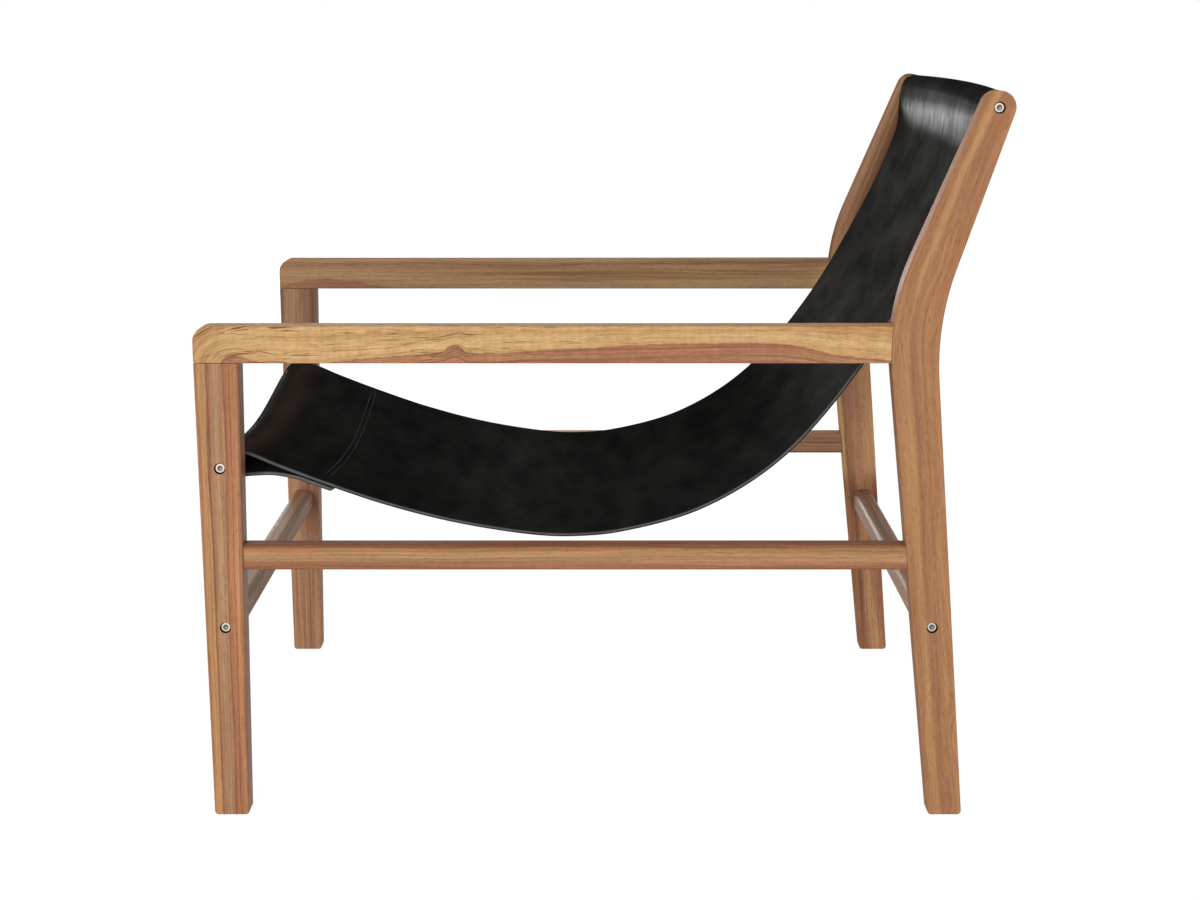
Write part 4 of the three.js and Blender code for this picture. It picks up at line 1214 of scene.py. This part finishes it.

# Material name, grain, palette and looks of each node's wood. Each board has its own place in the grain. A
# height curve, where given, is painted light and shade by height.
WOOD_LOOKS = {
    "left_front_leg": ("front_leg_wood_left", "zyx", LEG_PALETTE, dict(
        bands=FRONT_LEG_BANDS, share=across_leg, band_weight=0.85, stripes=(9.0, 1.7), contrast=(0.9, 1.3),
        gloss=0.3, matt=0.42, height_shade=[(0, 0.98), (300, 0.92), (480, 0.86), (749, 0.86)], bores=LEG_BORES)),
    "right_front_leg": ("front_leg_wood_right", "zyx", FAR_LEG_PALETTE, dict(
        contrast=(1.3, 1.1), gloss=0.2, matt=0.5, bores=LEG_BORES,
        height_shade=[(0, 1.14), (200, 1.08), (330, 0.9), (450, 0.72), (749, 0.7)])),
    "left_rear_post": ("rear_post_wood_left", "zyx", POST_PALETTE, dict(
        flow=along_post, patch=near_post_patch, stripes=(11.0, 3.4), contrast=(0.8, 0.6), pores=0.3,
        wave=34.0, gloss=0.05, bores=POST_BORES)),
    "right_rear_post": ("rear_post_wood_right", "zyx", FAR_POST_SHADED_PALETTE, dict(
        flow=along_post, patch=far_post_patch, contrast=(1.0, 0.9), wave=8.0, gloss=0.0, bores=POST_BORES,
        height_shade=[(0, 1.5), (300, 1.4), (480, 1.05), (600, 0.82), (749, 0.82)])),
    "left_armrest": ("armrest_wood_left", "yzx", ARM_PALETTE, dict(
        flow=near_arm_flow, patch=near_arm_patch, pores=0.85, figure=0.13, ripple=0.055, stripes=(9.0, 2.4),
        contrast=(0.6, 0.6), dashes=(21.0, 0.56), fibres=13.0, pepper=0.5, gloss=0.13,
        fading=(260, 460, 1.0, 0.35))),
    "right_armrest": ("armrest_wood_right", "yzx", FAR_ARM_PALETTE, dict(
        patch=far_arm_patch, contrast=(0.8, 0.7))),
    "left_side_stretcher": ("side_stretcher_wood_left", "yzx", BAR_PALETTE, dict(
        bands=STRETCHER_BANDS, share=up_stretcher, band_weight=0.7, stripes=(6.0, 1.6), contrast=(1.0, 1.2))),
    "right_side_stretcher": ("side_stretcher_wood_right", "yzx", FAR_BAR_LIT_PALETTE, dict(stripes=(6.0, 1.6))),
    "front_cross_stretcher": ("front_stretcher_wood", "xyz", BAR_PALETTE, dict(
        stripes=(8.0, 2.0), gloss=0.3, matt=0.5)),
    "rear_cross_stretcher": ("rear_stretcher_wood", "xyz", BAR_PALETTE, dict(
        stripes=(8.0, 2.0), gloss=0.2, matt=0.5)),
    "front_sling_rail": ("front_rail_wood", "xyz", DARK_PALETTE, {}),
    "top_sling_rail": ("top_rail_wood", "xyz", DARK_PALETTE, {}),
    "arm_leg_tenon": ("upright_tenon_wood", "zyx", PLAIN_PALETTE, dict(pores=0.15, contrast=(0.5, 0.5))),
    "tenon": ("level_tenon_wood", "yzx", PLAIN_PALETTE, dict(pores=0.15, contrast=(0.5, 0.5))),
}
WOODS = {
    node: wood(name, grain, seed, palette, **looks)
    for seed, (node, (name, grain, palette, looks)) in enumerate(WOOD_LOOKS.items(), 1)
}


# Leather

# The gloss along the sheet, a place and a coat's weight, and what polish adds below the top rail
GLOSS_ALONG = [
    (0, 0.005), (630, 0.005), (670, 0.003), (711, 0.0018), (771, 0.0011), (930, 0.0011), (993, 0.0012),
    (1013, 0.0045), (1033, 0.0085), (1053, 0.014), (1073, 0.019), (1094, 0.024), (1114, 0.0265),
    (1247, 0.027),
]
HIGHEST_GLOSS = 0.03
TOP_POLISH = 0.037
# How far the polished band slants, for each millimetre across
BAND_SLANT = 0.012
# Where the back's creases, with their painted shade, begin and are full, along the sheet
LOWER_BACK, UPPER_BACK = 985, 1110
# Painted light and shade along the sheet, lightest on the back: a place and a factor
SHADE_ALONG_SHEET = [
    (0, 1.0), (250, 1.0), (350, 0.8), (450, 1.35), (560, 0.9), (650, 0.82), (711, 0.88), (740, 0.98),
    (771, 1.0), (791, 1.25), (832, 1.8), (852, 2.25), (893, 3.2), (913, 3.1), (953, 2.45), (973, 2.2),
    (993, 2.4), (1020, 2.7), (1060, 2.8), (1100, 2.2), (1150, 1.4), (1247, 1.3),
]


HIGHEST_SHADE_ALONG_SHEET = 4.0
# Where an effect begins and is full, measured from the start or the end of the hanging face
RIDGE_RISE, RIDGE_FALL, FRONT_ROLL_LIGHT = (-8, 6), (34, 12), (6, -10)
EDGE_ROLL = (150, 40)
BAND_RISE, BAND_FALL, BAND_SHADE = (-42, -8), (12, -8), (-2, 16)
SIDE_RUB, COAT_SOFTENS = (-60, -25), (-150, -75)
SEAT_START, SEAT_END = float(ALONG[FIRST_SEAT]), float(ALONG[FIRST_TOP])
CREASE_SHADE = linear(13, 13, 13)
RIDGE_HIGHLIGHT_BROWN = linear(62, 50, 43)
FRONT_ROLL_LIGHT_BROWN = linear(52, 46, 42)
SIDE_GREY = linear(48, 48, 47)
INNER_EDGE_SHADE = linear(20, 20, 20)
OUTER_EDGE_SHADE = linear(22, 22, 21)
SOCKET_SHADE = linear(58, 50, 44)


def past(place, window):
    return place + window[0], place + window[1]


def along_sheet(n, name):
    """A length that the sheet's mesh carries, in millimetres."""
    return n.times(n.node("Attribute", attribute_name=name).outputs["Fac"], 1 / MM)


def grain_side(n, v, colour, cloud, streak, grit):
    # Painted light and shade along the sheet
    colour = n.shaded(colour, n.curve(v, SHADE_ALONG_SHEET, 0, SHEET_LENGTH, HIGHEST_SHADE_ALONG_SHEET))
    # Painted shade in the back's creases
    crease = n.noise((3.0, 34, 40), (n.add(n.x, n.sway(cloud, 30.0)), v, n.z), 2, 0.5, 0.6)
    creased = n.times(n.soft(crease, 0.6, 0.7), n.soft(v, LOWER_BACK, UPPER_BACK, 0.25, 0.6))
    colour = n.mix(creased, colour, CREASE_SHADE)
    # Painted highlight on the front roll: a brown ridge, and a lighter brown over the whole roll and flap
    ridge = n.times(n.soft(v, *past(SEAT_START, RIDGE_RISE)), n.soft(v, *past(SEAT_START, RIDGE_FALL)))
    colour = n.mix(n.times(ridge, n.spread(cloud, 0.3, 0.7, 0.55, 0.85)), colour, RIDGE_HIGHLIGHT_BROWN)
    colour = n.mix(n.times(n.soft(v, *past(SEAT_START, FRONT_ROLL_LIGHT)), 0.7), colour, FRONT_ROLL_LIGHT_BROWN)
    side = n.soft(n.absolute(n.x), LEATHER_WIDTH / 2 - 4, LEATHER_WIDTH / 2)
    colour = n.mix(n.times(side, 0.2), colour, SIDE_GREY)
    # The seat is worn matt, the back is glossier and a band below the top rail is polished.
    gloss = n.curve(v, GLOSS_ALONG, 0, SHEET_LENGTH, HIGHEST_GLOSS)
    gloss = n.times(gloss, n.soft(n.x, 0, 200, 1.0, 0.55))
    slanted = n.add(v, n.times(n.x, BAND_SLANT))
    polished = n.times(n.soft(v, *past(SEAT_END, BAND_RISE)), n.soft(slanted, *past(SEAT_END, BAND_FALL)))
    gloss = n.add(gloss, n.times(polished, TOP_POLISH))
    gloss = n.times(gloss, n.soft(slanted, *past(SEAT_END, BAND_SHADE), 1.0, 0.35))
    rubbed = n.times(n.soft(v, *past(SEAT_END, SIDE_RUB)), n.soft(n.x, 10, 230, 0.0, 0.3))
    gloss = n.times(gloss, n.line(rubbed, -1.0, 1.0))
    worn = n.times(n.about(streak, 0.3, 0.4), n.about(cloud, 0.3, 0.25))
    worn = n.times(worn, n.about(n.noise((13, 60, 60), (n.x, v, n.z), 3, 0.65), 0.3, 0.35))
    n.set(Base_Color=colour, Roughness=n.line(streak, 0.22, 0.4), Specular_IOR_Level=0.0,
          Coat_Weight=n.times(gloss, worn), Coat_Roughness=n.soft(v, *past(SEAT_END, COAT_SOFTENS), 0.2, 0.3))
    fine = n.times(n.add(n.cells(1.4, (n.x, v, n.z)), grit), 0.15)
    n.bump(n.add(fine, n.times(streak, 0.7)), 0.07, 0.7)


def hide(name, low, high, face):
    """Black leather: the grain side, the flesh side or the cut edge."""
    n = Shader(name)
    v = along_sheet(n, "along")
    cloud = n.noise((90, 55, 30), (n.x, v, n.y), 3)
    streak = n.noise((1.6, 26, 40), (n.x, v, n.z), 3)
    grit = n.noise((1.1, 1.3, 1.1), (n.x, v, n.z), 3, 0.7)
    colour = n.ramp(n.add(n.line(cloud, 1.5, -0.25), n.sway(streak, 0.5)), [(0.2, low), (0.8, high)])
    if face == "grain":
        grain_side(n, v, colour, cloud, streak, grit)
        return n.material
    if face == "edge":
        # Painted shade on the cut edge, towards the inner face and in a strip by the outer face, which leaves
        # a light line between
        deep = n.times(along_sheet(n, "below"), 1 / LEATHER_THICKNESS)
        rolled = n.soft(v, *past(SEAT_START, EDGE_ROLL))
        dark = n.soft(deep, n.line(rolled, 0.35, 0.5), n.line(rolled, 0.2, 0.75))
        colour = n.mix(n.times(dark, 0.9), colour, INNER_EDGE_SHADE)
        colour = n.mix(n.spread(deep, 0.24, 0.14), colour, OUTER_EDGE_SHADE)
    n.set(Base_Color=colour, Roughness=n.line(grit, 0.3, 0.6), Specular_IOR_Level=0.15)
    n.bump(grit, 0.25, 0.8)
    return n.material


GRAIN_SIDE = hide("leather_grain_side", (23, 23, 22), (38, 37, 35), "grain")
# The cut edge's light grey is partly its own colour and partly a painted highlight along its rounding
CUT_EDGE = hide("leather_cut_edge", (78, 78, 78), (104, 104, 103), "edge")
FLESH_SIDE = hide("leather_flesh_side", (26, 25, 24), (38, 36, 34), "flesh")


def thread_material():
    n = Shader("waxed_thread")
    ply = n.noise((0.9, 0.4, 0.4), (n.x, n.y, n.z))
    colour = n.ramp(ply, [(0.3, (21, 21, 20)), (0.7, (32, 32, 31))])
    n.set(Base_Color=colour, Roughness=n.line(ply, 0.2, 0.5), Specular_IOR_Level=0.1)
    n.bump(ply, 0.08, 0.8)
    return n.material


def metal(name, dark, light, rough, sockets=()):
    n = Shader(name)
    smear = n.noise((6, 1.2, 1.2), (n.x, n.y, n.z), 3)
    speck = n.noise((0.35, 0.35, 0.35), (n.x, n.y, n.z))
    colour = n.ramp(smear, [(0.3, dark), (0.7, light)])
    flat, head = BOLT_HEX_ACROSS_FLATS / 2, OUTER_FACE - BOLT_RECESS
    for socket in sockets:
        # Dark inside the hexagon sockets
        inside = n.soft(n.away(*socket), flat + 0.9, flat + 0.3)
        deep = n.spread(n.absolute(n.x), head - 0.2, head - 0.9)
        colour = n.mix(n.times(n.times(inside, deep), 0.8), colour, SOCKET_SHADE)
    n.set(Base_Color=colour, Roughness=n.line(smear, 0.2, rough - 0.1), Metallic=1.0)
    n.bump(n.times(n.add(smear, speck), 0.5), 0.02, 0.5)
    return n.material


NICKEL = metal("nickel_plate", (174, 165, 154), (212, 203, 192), 0.38, BOLT_PLACES.values())
BRASS = metal("plain_brass", (158, 132, 78), (190, 162, 102), 0.4)
BLUED = metal("blued_steel", (70, 66, 62), (104, 99, 92), 0.4)


def dress(piece, *materials):
    slots = piece.data.materials
    while len(slots) < len(materials):
        slots.append(None)
    for i, material in enumerate(materials):
        slots[i] = material


dress(leather, GRAIN_SIDE, CUT_EDGE, FLESH_SIDE)
dress(PIECES["stitching"], thread_material())
for name, piece in PIECES.items():
    if name in WOODS:
        dress(piece, WOODS[name])
    elif "_bolt" in name:
        dress(piece, NICKEL)
    elif "_tack_" in name:
        dress(piece, BLUED)
for name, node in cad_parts.items():
    if name.endswith("arm_leg_tenon"):
        dress(node, WOODS["arm_leg_tenon"])
    elif name.endswith("_tenon"):
        dress(node, WOODS["tenon"])
    elif name.endswith("_insert"):
        dress(node, BRASS)


# Stage: floor, world, lamps and camera

FLOOR_SIZE = 12.0
FLOOR_COLOUR = (0.85, 0.85, 0.85, 1)
FLOOR_WHITE_SHARE = 0.85
FLOOR_GLOW = 1.12
WORLD_LIGHT = 0.42
WHITE = (1, 1, 1, 1)

half = FLOOR_SIZE / 2
floor_mesh = bpy.data.meshes.new("floor")
corners = [(-half, -half, 0), (half, -half, 0), (half, half, 0), (-half, half, 0)]
floor_mesh.from_pydata(corners, [], [(0, 1, 2, 3)])
floor = add_object("floor", floor_mesh)


def fill(tree, output, plain, glow, share):
    """One shader for what lights the object, mixed by a share with a glow for what is seen directly."""
    path = add_node(tree, "LightPath").outputs
    seen = add_node(tree, "Math", {0: path["Is Camera Ray"], 1: path["Is Glossy Ray"]}, operation="MAXIMUM")
    seen = add_node(tree, "Math", {0: seen.outputs[0], 1: path["Is Transmission Ray"]}, operation="MAXIMUM")
    seen = add_node(tree, "Math", {0: seen.outputs[0], 1: share}, operation="MULTIPLY")
    mix = add_node(tree, "MixShader", {0: seen.outputs[0], 1: plain.outputs[0], 2: glow.outputs[0]})
    add_node(tree, output, {"Surface": mix.outputs[0]})


floor_material = bpy.data.materials.new("pale_floor")
floor.data.materials.append(floor_material)
world = bpy.context.scene.world = bpy.data.worlds.new("studio")
for owner in (floor_material, world):
    owner.use_nodes = True
    owner.node_tree.nodes.clear()
tree = floor_material.node_tree
fill(tree, "OutputMaterial", add_node(tree, "BsdfDiffuse", {"Color": FLOOR_COLOUR}),
     add_node(tree, "Emission", {"Color": WHITE, "Strength": FLOOR_GLOW}), FLOOR_WHITE_SHARE)
tree = world.node_tree
fill(tree, "OutputWorld", add_node(tree, "Background", {"Color": WHITE, "Strength": WORLD_LIGHT}),
     add_node(tree, "Background", {"Color": WHITE, "Strength": 1.0}), 1.0)


def aim(made, place, way):
    made.location = place
    made.rotation_mode = "QUATERNION"
    made.rotation_quaternion = Vector(way).to_track_quat("-Z", "Y")


def lamp(name, place, target, size, power):
    data = bpy.data.lights.new(name, "AREA")
    data.shape = "RECTANGLE"
    data.size, data.size_y = size
    data.energy = power
    aim(add_object(name, data), place, Vector(target) - Vector(place))


lamp("key_softbox", (6.2, -1.36, 2.15), (0, 0, 0.4), (4.3, 3.9), 246)
lamp("rim_softbox", (-5.3, -0.75, 0.42), (0, 0.2, 0.6), (1.9, 0.44), 118)

CAMERA_PLACE = (2.390, -0.0069, 0.8216)
CAMERA_PITCH = math.radians(11.691)
CAMERA_LENS = 63.105
CAMERA_SHIFT = 0.00133
SENSOR_WIDTH = 36
camera_data = bpy.data.cameras.new("camera")
camera_data.sensor_width = SENSOR_WIDTH
camera_data.lens = CAMERA_LENS
camera_data.shift_x = CAMERA_SHIFT
camera_data.clip_start, camera_data.clip_end = 0.05, 60
camera = add_object("camera", camera_data)
aim(camera, CAMERA_PLACE, (-math.cos(CAMERA_PITCH), 0, -math.sin(CAMERA_PITCH)))
bpy.context.scene.camera = camera
bpy.context.scene.view_settings.view_transform = "Standard"
